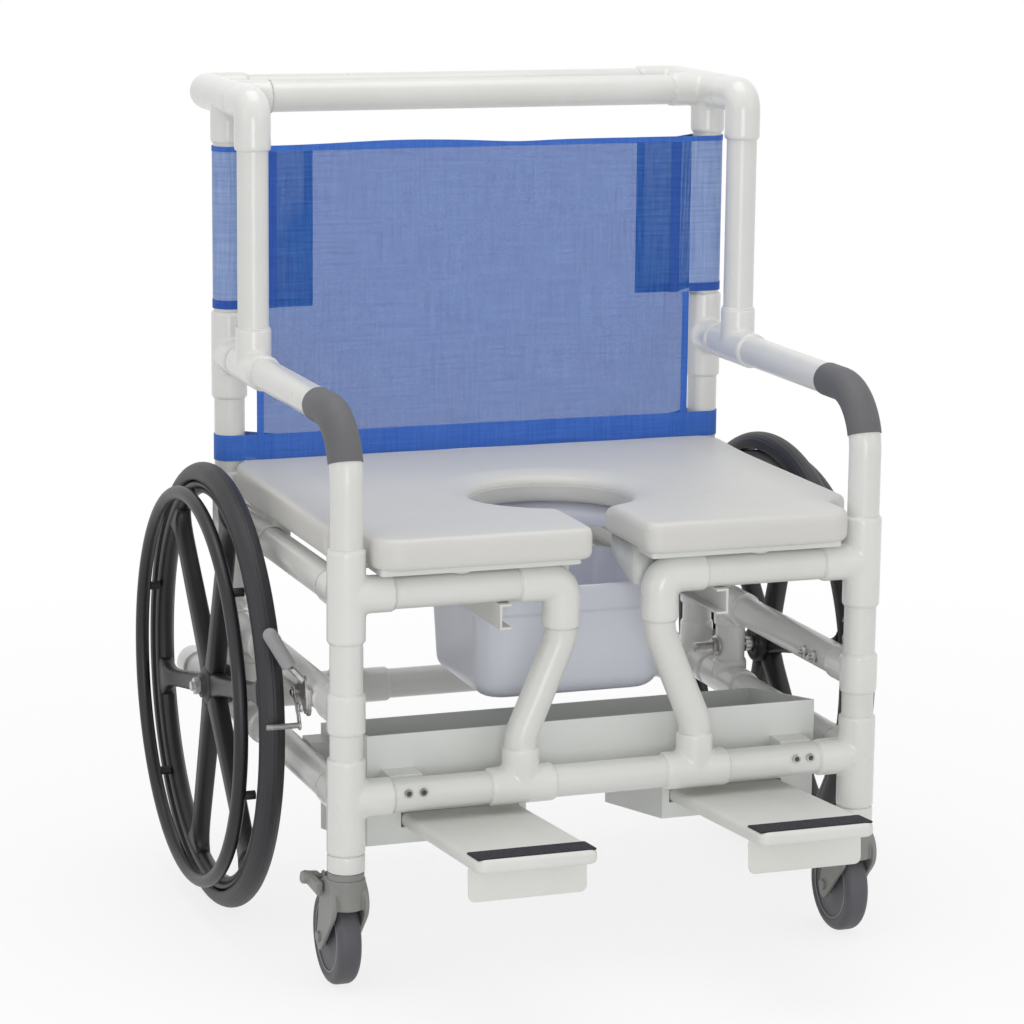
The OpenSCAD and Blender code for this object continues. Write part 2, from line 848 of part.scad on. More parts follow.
// A sleeve of cloth round an upright, drawn in X and Y, that comes back to the front sheet
module sleeve(z0, z1, reach_x) {
  inner = pipe_r + bond_gap;
  outer = inner + cloth_t;
  translate([0, 0, z0])
    linear_extrude(height = z1 - z0)
      difference() {
        union() {
          translate([frame_x, back_y]) circle(r = outer);
          polygon([
            [reach_x, sling_front_y],
            [frame_x, back_y - outer],
            [frame_x, back_y + outer],
            [reach_x, sling_front_y + 2 * cloth_t]
          ]);
        }
        translate([frame_x, back_y]) circle(r = inner);
        polygon([
          [reach_x + flap_seam, sling_front_y + cloth_t],
          [frame_x, back_y - inner],
          [frame_x, back_y + inner]
        ]);
      }
}

// Width of the seam where a flap is sewn to the front sheet
flap_seam = 12;

module back_sling() {
  color(mesh_blue) chair() {
    translate([-sling_half_w, sling_front_y, sling_bottom])
      cube([2 * sling_half_w, cloth_t, sling_top - sling_bottom]);
    both_sides() {
      sleeve(sleeve_bottom, sling_top, flap_x);
      sleeve(sling_bottom, sling_bottom + sling_band_h, sling_half_w - 2 * flap_seam);
    }
  }
}

// Seat

bumper_h = 12.7;
cushion_bottom = seat_z + pipe_r + bond_gap + bumper_h;
bumper_d = 26;
bumper_x = 205;
base_inset = 18;
base_front_y = 35;
nose_round = 35;
back_round = 28;
slot_round = 20;
// Points on a quarter-round corner
corner_steps = 6;
// Rings of the cushion's sides: height, then inset, as shares of its thickness
ring_shares = [[0, 0.12], [0.1, 0.02], [0.25, 0], [0.74, 0], [0.89, 0.04], [0.97, 0.14]];
// Rows of its crowned top, as shares of the way from the outer edge to the opening
row_shares = [0.12, 0.5, 0.88];
// Rise of the top over the upper ring at those rows, as shares of its thickness
rise_shares = [0.02, 0.03, 0.02];

function arc(x, y, r, a0, a1, n) =
  [for (i = [0 : n]) [x + r * cos(a0 + (a1 - a0) * i / n), y + r * sin(a0 + (a1 - a0) * i / n)]];

// Where the slot runs into the round opening
slot_meet_angle = acos(slot_half_w / hole_r);

// Right half of the outline, from the slot round the front, the side and the back
seat_half = concat(
  arc(slot_half_w + slot_round, -seat_nose + slot_round, slot_round, 180, 270, corner_steps),
  arc(seat_nose_half_w - nose_round, -seat_nose + nose_round, nose_round, -90, 0, corner_steps),
  [[seat_nose_half_w, base_front_y], [seat_half_w, base_front_y + seat_half_w - seat_nose_half_w]],
  arc(seat_half_w - back_round, seat_back_y - back_round, back_round, 0, 90, corner_steps)
);
seat_half_left = [for (i = [len(seat_half) - 1 : -1 : 0]) [-seat_half[i][0], seat_half[i][1]]];
// As many points round the opening as round the outer edge
edge_count = 2 * len(seat_half);
seat_hole = arc(0, hole_y, hole_r, 180 + slot_meet_angle, -slot_meet_angle, edge_count - 1);
seat_outline = concat(seat_half, seat_half_left, seat_hole);

function unit(v) = v / norm(v);
function left_of(v) = [-v[1], v[0]];

// Moves each point of an outline inwards by the same distance from both of its edges
function shrink(pts, d) = [
  for (i = [0 : len(pts) - 1])
    let (
      a = left_of(unit(pts[i] - pts[(i + len(pts) - 1) % len(pts)])),
      b = left_of(unit(pts[(i + 1) % len(pts)] - pts[i]))
    )
    pts[i] + (a + b) * d / (1 + a * b)
];

function lift(pts, z) = [for (p = pts) [p[0], p[1], z]];

// Two triangles across a four-sided patch
function patch(a, b, c, d) = [[a, b, c], [a, c, d]];

// The sides are rings of the whole outline. The top runs in rows from the outer edge to the
// opening, so each point of the edge is paired with the one across from it on the opening.
module seat_cushion() {
  n = 2 * edge_count;
  m = len(ring_shares);
  rings = [
    for (s = ring_shares) lift(shrink(seat_outline, s[1] * seat_t), cushion_bottom + s[0] * seat_t)
  ];
  rim = rings[m - 1];
  rows = [
    for (r = [0 : len(row_shares) - 1])
      [
        for (k = [0 : edge_count - 1])
          rim[k] * (1 - row_shares[r]) + rim[n - 1 - k] * row_shares[r] + [0, 0, rise_shares[r] * seat_t]
      ]
  ];
  // Index of a point of the top, in row 0 on the outer edge to the last row on the opening
  function top(row, k) =
    row == 0 ? (m - 1) * n + k
    : row > len(rows) ? m * n - 1 - k
    : m * n + (row - 1) * edge_count + k;
  color(cushion_white) chair()
    polyhedron(
      points = concat([for (r = rings) each r], [for (r = rows) each r]),
      faces = concat(
        [for (k = [0 : edge_count - 2]) each patch(k, k + 1, n - 2 - k, n - 1 - k)],
        [
          for (k = [0 : m - 2])
            for (i = [0 : n - 1])
              let (j = (i + 1) % n)
              each patch(k * n + i, (k + 1) * n + i, (k + 1) * n + j, k * n + j)
        ],
        [
          for (row = [0 : len(rows)])
            for (k = [0 : edge_count - 2])
              each patch(top(row, k), top(row + 1, k), top(row + 1, k + 1), top(row, k + 1))
        ],
        [
          for (k = [0, edge_count - 1])
            for (row = [1 : len(rows)])
              k == 0
              ? [top(0, k), top(row + 1, k), top(row, k)]
              : [top(0, k), top(row, k), top(row + 1, k)]
        ]
      )
    );
}

// Depth and wall of the splash ring that hangs from the board round the opening
splash_h = 30;
splash_t = 4;

module seat_base() {
  ring_r = hole_r + base_inset / 2;
  color(cushion_white) chair()
    difference() {
      union() {
        translate([-seat_nose_half_w + base_inset, base_front_y, cushion_bottom - base_t]) cube([
          2 * (seat_nose_half_w - base_inset),
          seat_back_y - base_front_y - base_inset,
          base_t
        ]);
        translate([0, hole_y, cushion_bottom - splash_h]) cylinder(r = ring_r + splash_t, h = splash_h);
      }
      translate([0, 0, cushion_bottom - splash_h - overrun]) {
        translate([0, hole_y, 0]) cylinder(r = ring_r, h = splash_h + 2 * overrun);
        translate([-slot_half_w - base_inset / 2, base_front_y - overrun, 0])
          cube([2 * slot_half_w + base_inset, hole_y - base_front_y, splash_h + 2 * overrun]);
      }
    }
}

// Clips that straddle the side rails
clip_y = 354;
clip_len = 44;
clip_wall = 3;

module seat_clips() {
  inner_r = pipe_r + clear_gap;
  outer_r = inner_r + clip_wall;
  color(white) chair() both_sides()
    translate([frame_x, clip_y - clip_len / 2, seat_z])
      difference() {
        union() {
          rotate(REAR) cylinder(r = outer_r, h = clip_len);
          translate([-outer_r, 0, 0])
            cube([outer_r, clip_len, cushion_bottom - seat_z]);
        }
        translate([0, -overrun, 0]) rotate(REAR) cylinder(r = inner_r, h = clip_len + 2 * overrun);
        translate([-outer_r - overrun, -overrun, -outer_r - overrun])
          cube([2 * (outer_r + overrun), clip_len + 2 * overrun, outer_r + overrun]);
      }
}

module seat_bumpers() {
  color(white) chair() both_sides()
    translate([bumper_x, 0, cushion_bottom - bumper_h])
      difference() {
        cylinder(d = bumper_d, h = bumper_h);
        translate([-bumper_d, 0, seat_z - cushion_bottom + bumper_h]) rotate(RIGHT)
          cylinder(r = pipe_r + bond_gap, h = 2 * bumper_d);
      }
}

// Rear wheels

axle_z = wheel_d / 2;
hub_in = 24;
hub_out = 20;
spokes = 6;
// Turn of the spokes from the level, with the front spoke higher
spoke_phase = 11;
// The spokes run this far into the hub and the rim
spoke_bite = 3;
standoff_d = 12;
// The standoffs stand midway between the spokes
half_step_share = 0.5;

// Wheel frame: +Z along the axle away from the chair, +Y to the rear
module wheel_frame(side) {
  chair() one_side(side) translate([wheel_x, post_y, axle_z]) rotate(RIGHT) children();
}

module tyre(side) {
  r = wheel_d / 2;
  color(black) wheel_frame(side)
    rotate_extrude()
      intersection() {
        translate([r - tyre_w / 2, 0]) circle(d = tyre_w);
        translate([r - tyre_depth, -tyre_w]) square([tyre_depth + overrun, 2 * tyre_w]);
      }
}

rim_out_r = wheel_d / 2 - tyre_depth;
rim_in_r = rim_out_r - rim_depth;

// Outline of one spoke along +Y
module spoke_outline() {
  root = hub_d / 2 - spoke_bite;
  tip = rim_in_r + spoke_bite;
  polygon([
    [-spoke_root_w / 2, root],
    [spoke_root_w / 2, root],
    [spoke_tip_w / 2, tip],
    [-spoke_tip_w / 2, tip]
  ]);
}

module wheel(side) {
  color(black) wheel_frame(side)
    difference() {
      union() {
        rotate_extrude() translate([rim_in_r, -rim_w / 2]) square([rim_depth - bond_gap, rim_w]);
        translate([0, 0, -hub_in]) cylinder(d = hub_d, h = hub_in + hub_out);
        for (i = [0 : spokes - 1])
          rotate([0, 0, i * 360 / spokes - spoke_phase])
            translate([0, 0, -spoke_t / 2]) linear_extrude(height = spoke_t) spoke_outline();
      }
      translate([0, 0, -hub_in - overrun])
        cylinder(d = axle_d + 2 * run_gap, h = hub_in + hub_out + 2 * overrun);
    }
}

module handrim(side) {
  r = handrim_d / 2;
  seat_z0 = rim_w / 2 + bond_gap;
  color(black) wheel_frame(side) {
    translate([0, 0, handrim_out]) rotate_extrude() translate([r, 0]) circle(d = handrim_tube);
    for (i = [0 : spokes - 1])
      rotate([0, 0, (i + half_step_share) * 360 / spokes - spoke_phase])
        translate([0, r, seat_z0]) cylinder(d = standoff_d, h = handrim_out - seat_z0);
  }
}

module left_tyre() { tyre(-1); }
module right_tyre() { tyre(1); }
module left_wheel() { wheel(-1); }
module right_wheel() { wheel(1); }
module left_handrim() { handrim(-1); }
module right_handrim() { handrim(1); }

// Axle bolts with a spacer sleeve between the post and the hub, and nuts at both ends
axle_in = 34;
axle_nut_t = 8;
axle_nut_d = 24;
spacer_d = 22;
axle_cap = 5;

module axle_bolts() {
  inner_end = frame_x - pipe_r - axle_in;
  outer_end = wheel_x + hub_out + axle_nut_t + axle_cap;
  spacer_start = frame_x + pipe_r + bond_gap;
  spacer_end = wheel_x - hub_in - clear_gap;
  color(steel) chair() both_sides()
    translate([0, post_y, axle_z]) {
      translate([inner_end, 0, 0]) rotate(RIGHT) cylinder(d = axle_d, h = outer_end - inner_end);
      translate([spacer_start, 0, 0]) rotate(RIGHT)
        cylinder(d = spacer_d, h = spacer_end - spacer_start);
    }
}

module axle_nuts() {
  color(steel) chair() both_sides()
    for (x = [frame_x - pipe_r - bond_gap - axle_nut_t, wheel_x + hub_out + clear_gap])
      translate([x, post_y, axle_z]) rotate(RIGHT)
        difference() {
          cylinder(d = axle_nut_d, h = axle_nut_t, $fn = 6);
          translate([0, 0, -overrun])
            cylinder(d = axle_d + 2 * run_gap, h = axle_nut_t + 2 * overrun);
        }
}

// Wheel locks

lock_bolt_d = 6;
lock_bolt_y = [91, 123];
lock_plate_t = 3;
lock_pin_d = 7;
lock_pivot_y = 91;
lock_pivot_drop = 14;
lock_pivot_z = mid_z - lock_pivot_drop;
shoe_pivot_y = 135;
shoe_pivot_drop = 4;
shoe_pivot_z = mid_z - shoe_pivot_drop;
shoe_y = 107;
shoe_z = 326;
shoe_d = 12;
plate_round = 11;
lever_round = 8;
// Places along the lever rod: top of the plate, bend at the grip and tip of the grip
lever_top = [96.5, 386];
grip_start = [395, 118, 402];
grip_tip = [418, 125, 443];
lock_grip_d = 19;
lock_rod_d = 8;
lock_hull_fn = 32;
// Plates of a lock lie side by side, from the rail outwards
bracket_x = frame_x + pipe_r + bond_gap;
lever_x = bracket_x + lock_plate_t + clear_gap / 2;
shoe_x = lever_x + lock_plate_t + clear_gap / 2;
shoe_end_x = wheel_x + tyre_w / 2;

// A flat bar with round ends between two places in the Y and Z plane
module bar(a, b, r, t) {
  hull() {
    for (p = [a, b])
      translate([0, p[0], p[1]]) rotate(RIGHT) cylinder(r = r, h = t, $fn = lock_hull_fn);
  }
}

module lock_brackets() {
  color(steel) chair() both_sides() {
    difference() {
      union() {
        translate([bracket_x, 0, 0])
          bar([lock_pivot_y, lock_pivot_z], [shoe_pivot_y, shoe_pivot_z], plate_round, lock_plate_t);
        translate([bracket_x, lock_bolt_y[0] - plate_round, mid_z - plate_round])
          cube([lock_plate_t, lock_bolt_y[1] - lock_bolt_y[0] + 2 * plate_round, 2 * plate_round]);
      }
      for (y = lock_bolt_y) translate([frame_x, y, mid_z]) drill_bolt();
    }
    translate([bracket_x + lock_plate_t, lock_pivot_y, lock_pivot_z]) rotate(RIGHT)
      cylinder(d = lock_pin_d, h = lock_plate_t + clear_gap);
    translate([bracket_x + lock_plate_t, shoe_pivot_y, shoe_pivot_z]) rotate(RIGHT)
      cylinder(d = lock_pin_d, h = 2 * lock_plate_t + 2 * clear_gap);
  }
}

module drill_bolt() {
  rotate(RIGHT) cylinder(d = lock_bolt_d + 2 * run_gap, h = fit_od);
}

module lock_bolts() {
  color(steel) chair() both_sides()
    for (y = lock_bolt_y)
      translate([bracket_x + lock_plate_t, y, mid_z]) rotate(LEFT)
        union() {
          cylinder(d = lock_bolt_d, h = pipe_od + lock_plate_t + 2 * lock_bolt_d);
          translate([0, 0, pipe_od + lock_plate_t + 2 * bond_gap])
            cylinder(d = 2 * lock_bolt_d, h = lock_bolt_d, $fn = 6);
        }
}

// A round rod between two places, with a ball at its far end
module rod(a, b, d, ball_d) {
  v = b - a;
  translate(a)
    rotate([0, acos(v[2] / norm(v)), atan2(v[1], v[0])]) {
      cylinder(d = d, h = norm(v));
      translate([0, 0, norm(v)]) sphere(d = ball_d);
    }
}

// The rod of a lever swells a little at its bend
rod_swell = 1.2;

module lock_rod(d) {
  rod([lever_x + lock_plate_t / 2, lever_top[0], lever_top[1]], grip_start, d, d + rod_swell);
  rod(grip_start, grip_tip, d, d);
}

module lock_lever(side) {
  color(steel) chair() one_side(side) {
    difference() {
      translate([lever_x, 0, 0])
        bar([lock_pivot_y, lock_pivot_z], lever_top, lever_round, lock_plate_t);
      translate([lever_x - overrun, lock_pivot_y, lock_pivot_z]) rotate(RIGHT)
        cylinder(d = lock_pin_d + 2 * run_gap, h = lock_plate_t + 2 * overrun);
    }
    lock_rod(lock_rod_d);
  }
}

module lock_grip(side) {
  color(grip_grey) chair() one_side(side)
    difference() {
      rod(grip_start, grip_tip, lock_grip_d, lock_grip_d);
      lock_rod(lock_rod_d + 2 * bond_gap);
    }
}

module lock_shoe(side) {
  color(steel) chair() one_side(side) {
    difference() {
      translate([shoe_x, 0, 0])
        bar([shoe_pivot_y, shoe_pivot_z], [shoe_y, shoe_z], lever_round, lock_plate_t);
      translate([shoe_x - overrun, shoe_pivot_y, shoe_pivot_z]) rotate(RIGHT)
        cylinder(d = lock_pin_d + 2 * run_gap, h = lock_plate_t + 2 * overrun);
    }
    translate([shoe_x, shoe_y, shoe_z]) rotate(RIGHT) cylinder(d = shoe_d, h = shoe_end_x - shoe_x);
  }
}

module left_lock_lever() { lock_lever(-1); }
module right_lock_lever() { lock_lever(1); }
module left_lock_grip() { lock_grip(-1); }
module right_lock_grip() { lock_grip(1); }
module left_lock_shoe() { lock_shoe(-1); }
module right_lock_shoe() { lock_shoe(1); }

// Casters

fork_gap = 2.5;
fork_leg_t = 6;
crown_d = 50;
crown_bottom = 112;
fork_tip = [40, 56];
fork_tip_r = 11;
fork_shoulder = [6, 120];
fork_shoulder_r = 30;
fork_bar_r = 6;
fork_bar_lift = 6;
fork_hull_fn = 32;
caster_head_t = 3;
caster_head_d = 14;
tread_round = 8;
caster_dish = 3;
caster_tread = 13;
// Brake pedal: hinge pin, rear edge and the tab at the left, in the caster's own layout
pedal_pin = [46, 143];
pedal_pin_d = 5;
pedal_r = 4.5;
pedal_half_w = 13.5;
pedal_edge = [68, 131];
pedal_tab = [-40, 58, 137];
pedal_tab_r = 8;
ear_t = 4;
ear_gap = 0.5;

module caster_frame(side) {
  chair() translate([side * frame_x, 0, 0]) children();
}

// A round bar along X between two ends, at a place in Y and Z
module cross_bar(x0, x1, place, r) {
  translate([x0, place[0], place[1]]) rotate(RIGHT) cylinder(r = r, h = x1 - x0, $fn = fork_hull_fn);
}

module caster_fork(side) {
  crown_top = leg_bottom - socket_flange_t - bond_gap;
  leg_x = caster_w / 2 + fork_gap;
  out_x = leg_x + fork_leg_t;
  bar_place = [caster_trail, caster_d + fork_bar_lift];
  ear_x = pedal_half_w + ear_gap;
  color(fork_grey) caster_frame(side) {
    difference() {
      union() {
        hull() {
          translate([0, 0, crown_bottom])
            cylinder(d = crown_d, h = crown_top - crown_bottom, $fn = fork_hull_fn);
          cross_bar(-out_x, out_x, bar_place, fork_bar_r);
        }
        for (x = [-out_x, leg_x])
          hull() {
            cross_bar(x, x + fork_leg_t, fork_shoulder, fork_shoulder_r);
            cross_bar(x, x + fork_leg_t, fork_tip, fork_tip_r);
          }
        for (x = [-ear_x - ear_t, ear_x])
          hull() {
            cross_bar(x, x + ear_t, pedal_pin, fork_bar_r);
            cross_bar(x, x + ear_t, bar_place, fork_bar_r);
          }
      }
      translate([-leg_x, caster_trail, caster_d / 2]) rotate(RIGHT)
        cylinder(d = caster_d + 2 * fork_gap, h = 2 * leg_x);
      translate([-out_x - overrun, caster_trail, caster_d / 2]) rotate(RIGHT)
        cylinder(d = caster_axle_d + 2 * run_gap, h = 2 * (out_x + overrun));
    }
    translate([-ear_x - ear_t, pedal_pin[0], pedal_pin[1]]) rotate(RIGHT)
      cylinder(d = pedal_pin_d, h = 2 * (ear_x + ear_t));
    translate([0, 0, crown_top - stem_d]) cylinder(d = stem_d, h = socket_plug_h + stem_d);
  }
}

module caster_axle(side) {
  out_x = caster_w / 2 + fork_gap + fork_leg_t + bond_gap;
  color(steel) caster_frame(side)
    translate([0, caster_trail, caster_d / 2]) rotate(RIGHT) {
      translate([0, 0, -out_x]) cylinder(d = caster_axle_d, h = 2 * out_x);
      for (z = [-out_x - caster_head_t, out_x])
        translate([0, 0, z]) cylinder(d = caster_head_d, h = caster_head_t);
    }
}

// Solid tread on a dished centre, turned about the axle
module caster_wheel(side) {
  r = caster_d / 2;
  half = caster_w / 2;
  color(tread_grey) caster_frame(side)
    translate([0, caster_trail, r]) rotate(RIGHT)
      difference() {
        rotate_extrude()
          union() {
            translate([0, -half]) square([r - tread_round, caster_w]);
            translate([0, -half + tread_round]) square([r, caster_w - 2 * tread_round]);
            for (s = [-1, 1])
              translate([r - tread_round, s * (half - tread_round)]) circle(r = tread_round);
          }
        for (s = [-1, 1])
          translate([0, 0, s * half])
            difference() {
              cylinder(r = r - caster_tread, h = 2 * caster_dish, center = true);
              cylinder(d = 2 * caster_head_d, h = 2 * caster_dish, center = true);
            }
        cylinder(d = caster_axle_d + 2 * run_gap, h = 2 * caster_w, center = true);
      }
}

module caster_pedal(side) {
  color(fork_grey) caster_frame(side)
    difference() {
      union() {
        hull() {
          cross_bar(-pedal_half_w, pedal_half_w, pedal_pin, pedal_r);
          cross_bar(-pedal_half_w, pedal_half_w, pedal_edge, pedal_r);
        }
        hull() {
          cross_bar(-pedal_half_w, 0, pedal_edge, pedal_r);
          translate(pedal_tab) sphere(r = pedal_tab_r, $fn = fork_hull_fn);
        }
      }
      translate([-2 * pedal_half_w, pedal_pin[0], pedal_pin[1]]) rotate(RIGHT)
        cylinder(d = pedal_pin_d + 2 * run_gap, h = 4 * pedal_half_w);
    }
}

module left_caster_axle() { caster_axle(-1); }
module right_caster_axle() { caster_axle(1); }
module left_caster_pedal() { caster_pedal(-1); }
module right_caster_pedal() { caster_pedal(1); }
module left_caster_fork() { caster_fork(-1); }
module right_caster_fork() { caster_fork(1); }
module left_caster_wheel() { caster_wheel(-1); }
module right_caster_wheel() { caster_wheel(1); }

leg_tubes();
arm_tubes();
rear_uprights();
drop_tubes();
side_rails();
axle_posts();
push_handle_tubes();
top_crossbar();
seat_cross_rails();
bent_front_tubes();
lower_cross_rails();
rear_posts();
lower_corner_fittings();
seat_corner_fittings();
side_tees();
upper_fittings();
front_access_fittings();
rear_post_tees();
rail_end_caps();
arm_grips();
caster_sockets();
tray();
tray_spacers();
tray_bolts();
footrest_guides();
pail_channels();
back_sling();
lock_brackets();
lock_bolts();
axle_bolts();
axle_nuts();
seat_cushion();
seat_base();
seat_clips();
seat_bumpers();
pail();
left_footrest_board();
left_footrest_strip();
right_footrest_board();
right_footrest_strip();
left_tyre();
left_wheel();
left_handrim();
right_tyre();
right_wheel();
right_handrim();
left_caster_fork();
left_caster_axle();
left_caster_wheel();
left_caster_pedal();
right_caster_fork();
right_caster_axle();
right_caster_wheel();
right_caster_pedal();
left_lock_lever();
left_lock_grip();
left_lock_shoe();
right_lock_lever();
right_lock_grip();
right_lock_shoe();
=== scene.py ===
import math

import bmesh
import bpy
from mathutils import Matrix, Vector, noise


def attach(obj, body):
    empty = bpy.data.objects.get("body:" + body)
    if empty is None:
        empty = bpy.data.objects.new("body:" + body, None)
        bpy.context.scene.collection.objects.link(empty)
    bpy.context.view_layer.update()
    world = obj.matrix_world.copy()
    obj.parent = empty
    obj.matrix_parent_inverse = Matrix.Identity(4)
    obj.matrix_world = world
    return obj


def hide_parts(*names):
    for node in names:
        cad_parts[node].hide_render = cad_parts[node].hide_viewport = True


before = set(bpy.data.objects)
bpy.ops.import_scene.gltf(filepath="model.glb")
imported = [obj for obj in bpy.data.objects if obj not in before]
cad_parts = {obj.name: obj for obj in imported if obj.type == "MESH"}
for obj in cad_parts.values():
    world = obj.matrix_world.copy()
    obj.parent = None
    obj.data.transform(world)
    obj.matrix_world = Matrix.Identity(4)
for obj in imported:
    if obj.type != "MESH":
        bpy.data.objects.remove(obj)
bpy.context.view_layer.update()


# Straight frame pipes
# White plastic pipe of 42 mm, sawn to length and cemented into the fittings. The skin is
# smooth from extrusion, with faint handling marks and a slight greying from cleaning.
def srgb(red, green, blue):
    """A colour as seen on a screen, in the linear values that a shader takes."""
    return (*(((c / 255 + 0.055) / 1.055) ** 2.4 for c in (red, green, blue)), 1.0)


def node_group(name, inputs, outputs):
    """A new shader node group with its sockets, and the nodes at its two ends."""
    group = bpy.data.node_groups.new(name, "ShaderNodeTree")
    for label, kind, value in inputs:
        group.interface.new_socket(label, in_out="INPUT", socket_type=kind).default_value = value
    for label, kind in outputs:
        group.interface.new_socket(label, in_out="OUTPUT", socket_type=kind)
    return group, group.nodes.new("NodeGroupInput"), group.nodes.new("NodeGroupOutput")


def put(tree, socket, value):
    """Links a socket to another one, or sets it to a plain value."""
    if isinstance(value, bpy.types.NodeSocket):
        tree.links.new(value, socket)
    else:
        socket.default_value = value


def calc(tree, operation, *values):
    node = tree.nodes.new("ShaderNodeMath")
    node.operation = operation
    for socket, value in zip(node.inputs, values):
        put(tree, socket, value)
    return node.outputs[0]


def cloud(tree, where, scale, detail, roughness=0.6, distortion=0.0):
    """Soft noise over a surface."""
    node = tree.nodes.new("ShaderNodeTexNoise")
    tree.links.new(where, node.inputs["Vector"])
    node.inputs["Scale"].default_value = scale
    node.inputs["Detail"].default_value = detail
    node.inputs["Roughness"].default_value = roughness
    node.inputs["Distortion"].default_value = distortion
    return node.outputs["Fac"]


def ramp(tree, value, low, high):
    """The value brought to 0 at low and 1 at high, and held there beyond them."""
    node = tree.nodes.new("ShaderNodeMapRange")
    put(tree, node.inputs["Value"], value)
    node.inputs["From Min"].default_value = low
    node.inputs["From Max"].default_value = high
    return node.outputs["Result"]


def blend_colours(tree, share, first, second):
    node = tree.nodes.new("ShaderNodeMix")
    node.data_type = "RGBA"
    put(tree, node.inputs[0], share)
    put(tree, node.inputs[6], first)
    put(tree, node.inputs[7], second)
    return node.outputs[2]


handled, held_in, held_out = node_group(
    "Handled plastic",
    [
        ("Clean", "NodeSocketColor", (0.8, 0.8, 0.8, 1)),
        ("Soiled", "NodeSocketColor", (0.6, 0.6, 0.6, 1)),
        ("Soiling", "NodeSocketFloat", 0.5),
        ("Gloss Loss", "NodeSocketFloat", 0.3),
        ("Grain Size", "NodeSocketFloat", 1.0),
    ],
    [("Color", "NodeSocketColor"), ("Roughness", "NodeSocketFloat"), ("Height", "NodeSocketFloat")],
)
where = handled.nodes.new("ShaderNodeTexCoord").outputs["Object"]
finer = handled.nodes.new("ShaderNodeVectorMath")
finer.operation = "SCALE"
handled.links.new(where, finer.inputs[0])
handled.links.new(held_in.outputs["Grain Size"], finer.inputs["Scale"])
clouds = ramp(handled, cloud(handled, where, 4.5, 3), 0.4, 0.75)
rubs = cloud(handled, where, 26.0, 4, 0.5, 0.3)
specks = cloud(handled, finer.outputs[0], 420.0, 3, 0.5)
mottling = calc(handled, "MULTIPLY", clouds, 0.75)
rubbing = calc(handled, "MULTIPLY", ramp(handled, rubs, 0.5, 0.85), 0.4)
stain = calc(handled, "ADD", mottling, rubbing)
soil = calc(handled, "MULTIPLY", stain, held_in.outputs["Soiling"])
tint = blend_colours(handled, soil, held_in.outputs["Clean"], held_in.outputs["Soiled"])
dulling = calc(handled, "MULTIPLY", calc(handled, "SUBTRACT", rubs, 0.5), 0.12)
put(handled, held_out.inputs["Color"], tint)
put(handled, held_out.inputs["Roughness"], calc(handled, "ADD", held_in.outputs["Gloss Loss"], dulling))
put(handled, held_out.inputs["Height"], specks)


def new_finish(name):
    """A new material, with its node tree and its shader."""
    mat = bpy.data.materials.new(name)
    mat.use_nodes = True
    return mat, mat.node_tree, mat.node_tree.nodes["Principled BSDF"]


def emboss(tree, skin, height, strength, distance):
    """Raises a skin slightly by a height that changes over it."""
    lift = tree.nodes.new("ShaderNodeBump")
    lift.inputs["Strength"].default_value = strength
    lift.inputs["Distance"].default_value = distance
    tree.links.new(height, lift.inputs["Height"])
    tree.links.new(lift.outputs["Normal"], skin.inputs["Normal"])


def moulded(name, clean, soiled, soiling, gloss_loss, grain=1.0, bump=0.05, coat=0.0):
    """A plastic or rubber skin with mottling, rubbed patches and a fine grain."""
    mat, tree, skin = new_finish(name)
    skin.inputs["Coat Weight"].default_value = coat
    wear = tree.nodes.new("ShaderNodeGroup")
    wear.node_tree = handled
    labels = ("Clean", "Soiled", "Soiling", "Gloss Loss", "Grain Size")
    for label, value in zip(labels, (clean, soiled, soiling, gloss_loss, grain)):
        wear.inputs[label].default_value = value
    tree.links.new(wear.outputs["Color"], skin.inputs["Base Color"])
    tree.links.new(wear.outputs["Roughness"], skin.inputs["Roughness"])
    emboss(tree, skin, wear.outputs["Height"], bump, 0.001)
    return mat


def dress(material, *names):
    """Gives carried-over solids their finish."""
    for name in names:
        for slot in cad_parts[name].material_slots:
            slot.material = material


pipe_white = moulded("pipe_white", srgb(226, 226, 223), srgb(208, 207, 201), 0.4, 0.3, 1.0, 0.03, 0.15)
dress(
    pipe_white,
    "leg_tubes", "arm_tubes", "rear_uprights", "drop_tubes", "side_rails", "axle_posts",
    "push_handle_tubes", "top_crossbar", "seat_cross_rails", "lower_cross_rails", "rear_posts",
)


# Bent front tubes
# The same pipe, warmed and bent so that it leaves the inner seat elbows downwards and swings
# out to the lower front rail, which leaves the seat open to a hand at the front.
def made(name, verts, faces, material, body, slot, smooth=True):
    """A new piece from points and faces, with its finish, that rides on a body."""
    mesh = bpy.data.meshes.new(name)
    mesh.from_pydata(verts, [], faces)
    mesh.validate()
    shell = bmesh.new()
    shell.from_mesh(mesh)
    if all(edge.is_manifold for edge in shell.edges):  # a closed piece faces outwards all round
        bmesh.ops.recalc_face_normals(shell, faces=shell.faces)
        shell.to_mesh(mesh)
    shell.free()
    if smooth:
        mesh.polygons.foreach_set("use_smooth", [True] * len(mesh.polygons))
    mesh.materials.append(material)
    piece = bpy.data.objects.new(name, mesh)
    bpy.context.scene.collection.objects.link(piece)
    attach(piece, body)
    return piece


def skinned(rings, closed=True):
    """Points and faces over a row of rings that have the same number of points."""
    n = len(rings[0])
    verts = [p for ring in rings for p in ring]
    faces = []
    for i in range(len(rings) - 1):
        for k in range(n):
            m = (k + 1) % n
            faces.append((i * n + k, i * n + m, (i + 1) * n + m, (i + 1) * n + k))
    if closed:
        faces.append(tuple(reversed(range(n))))
        faces.append(tuple(range(len(verts) - n, len(verts))))
    return verts, faces


def around(count):
    """Angles spaced evenly over a full turn."""
    return [2 * math.pi * k / count for k in range(count)]


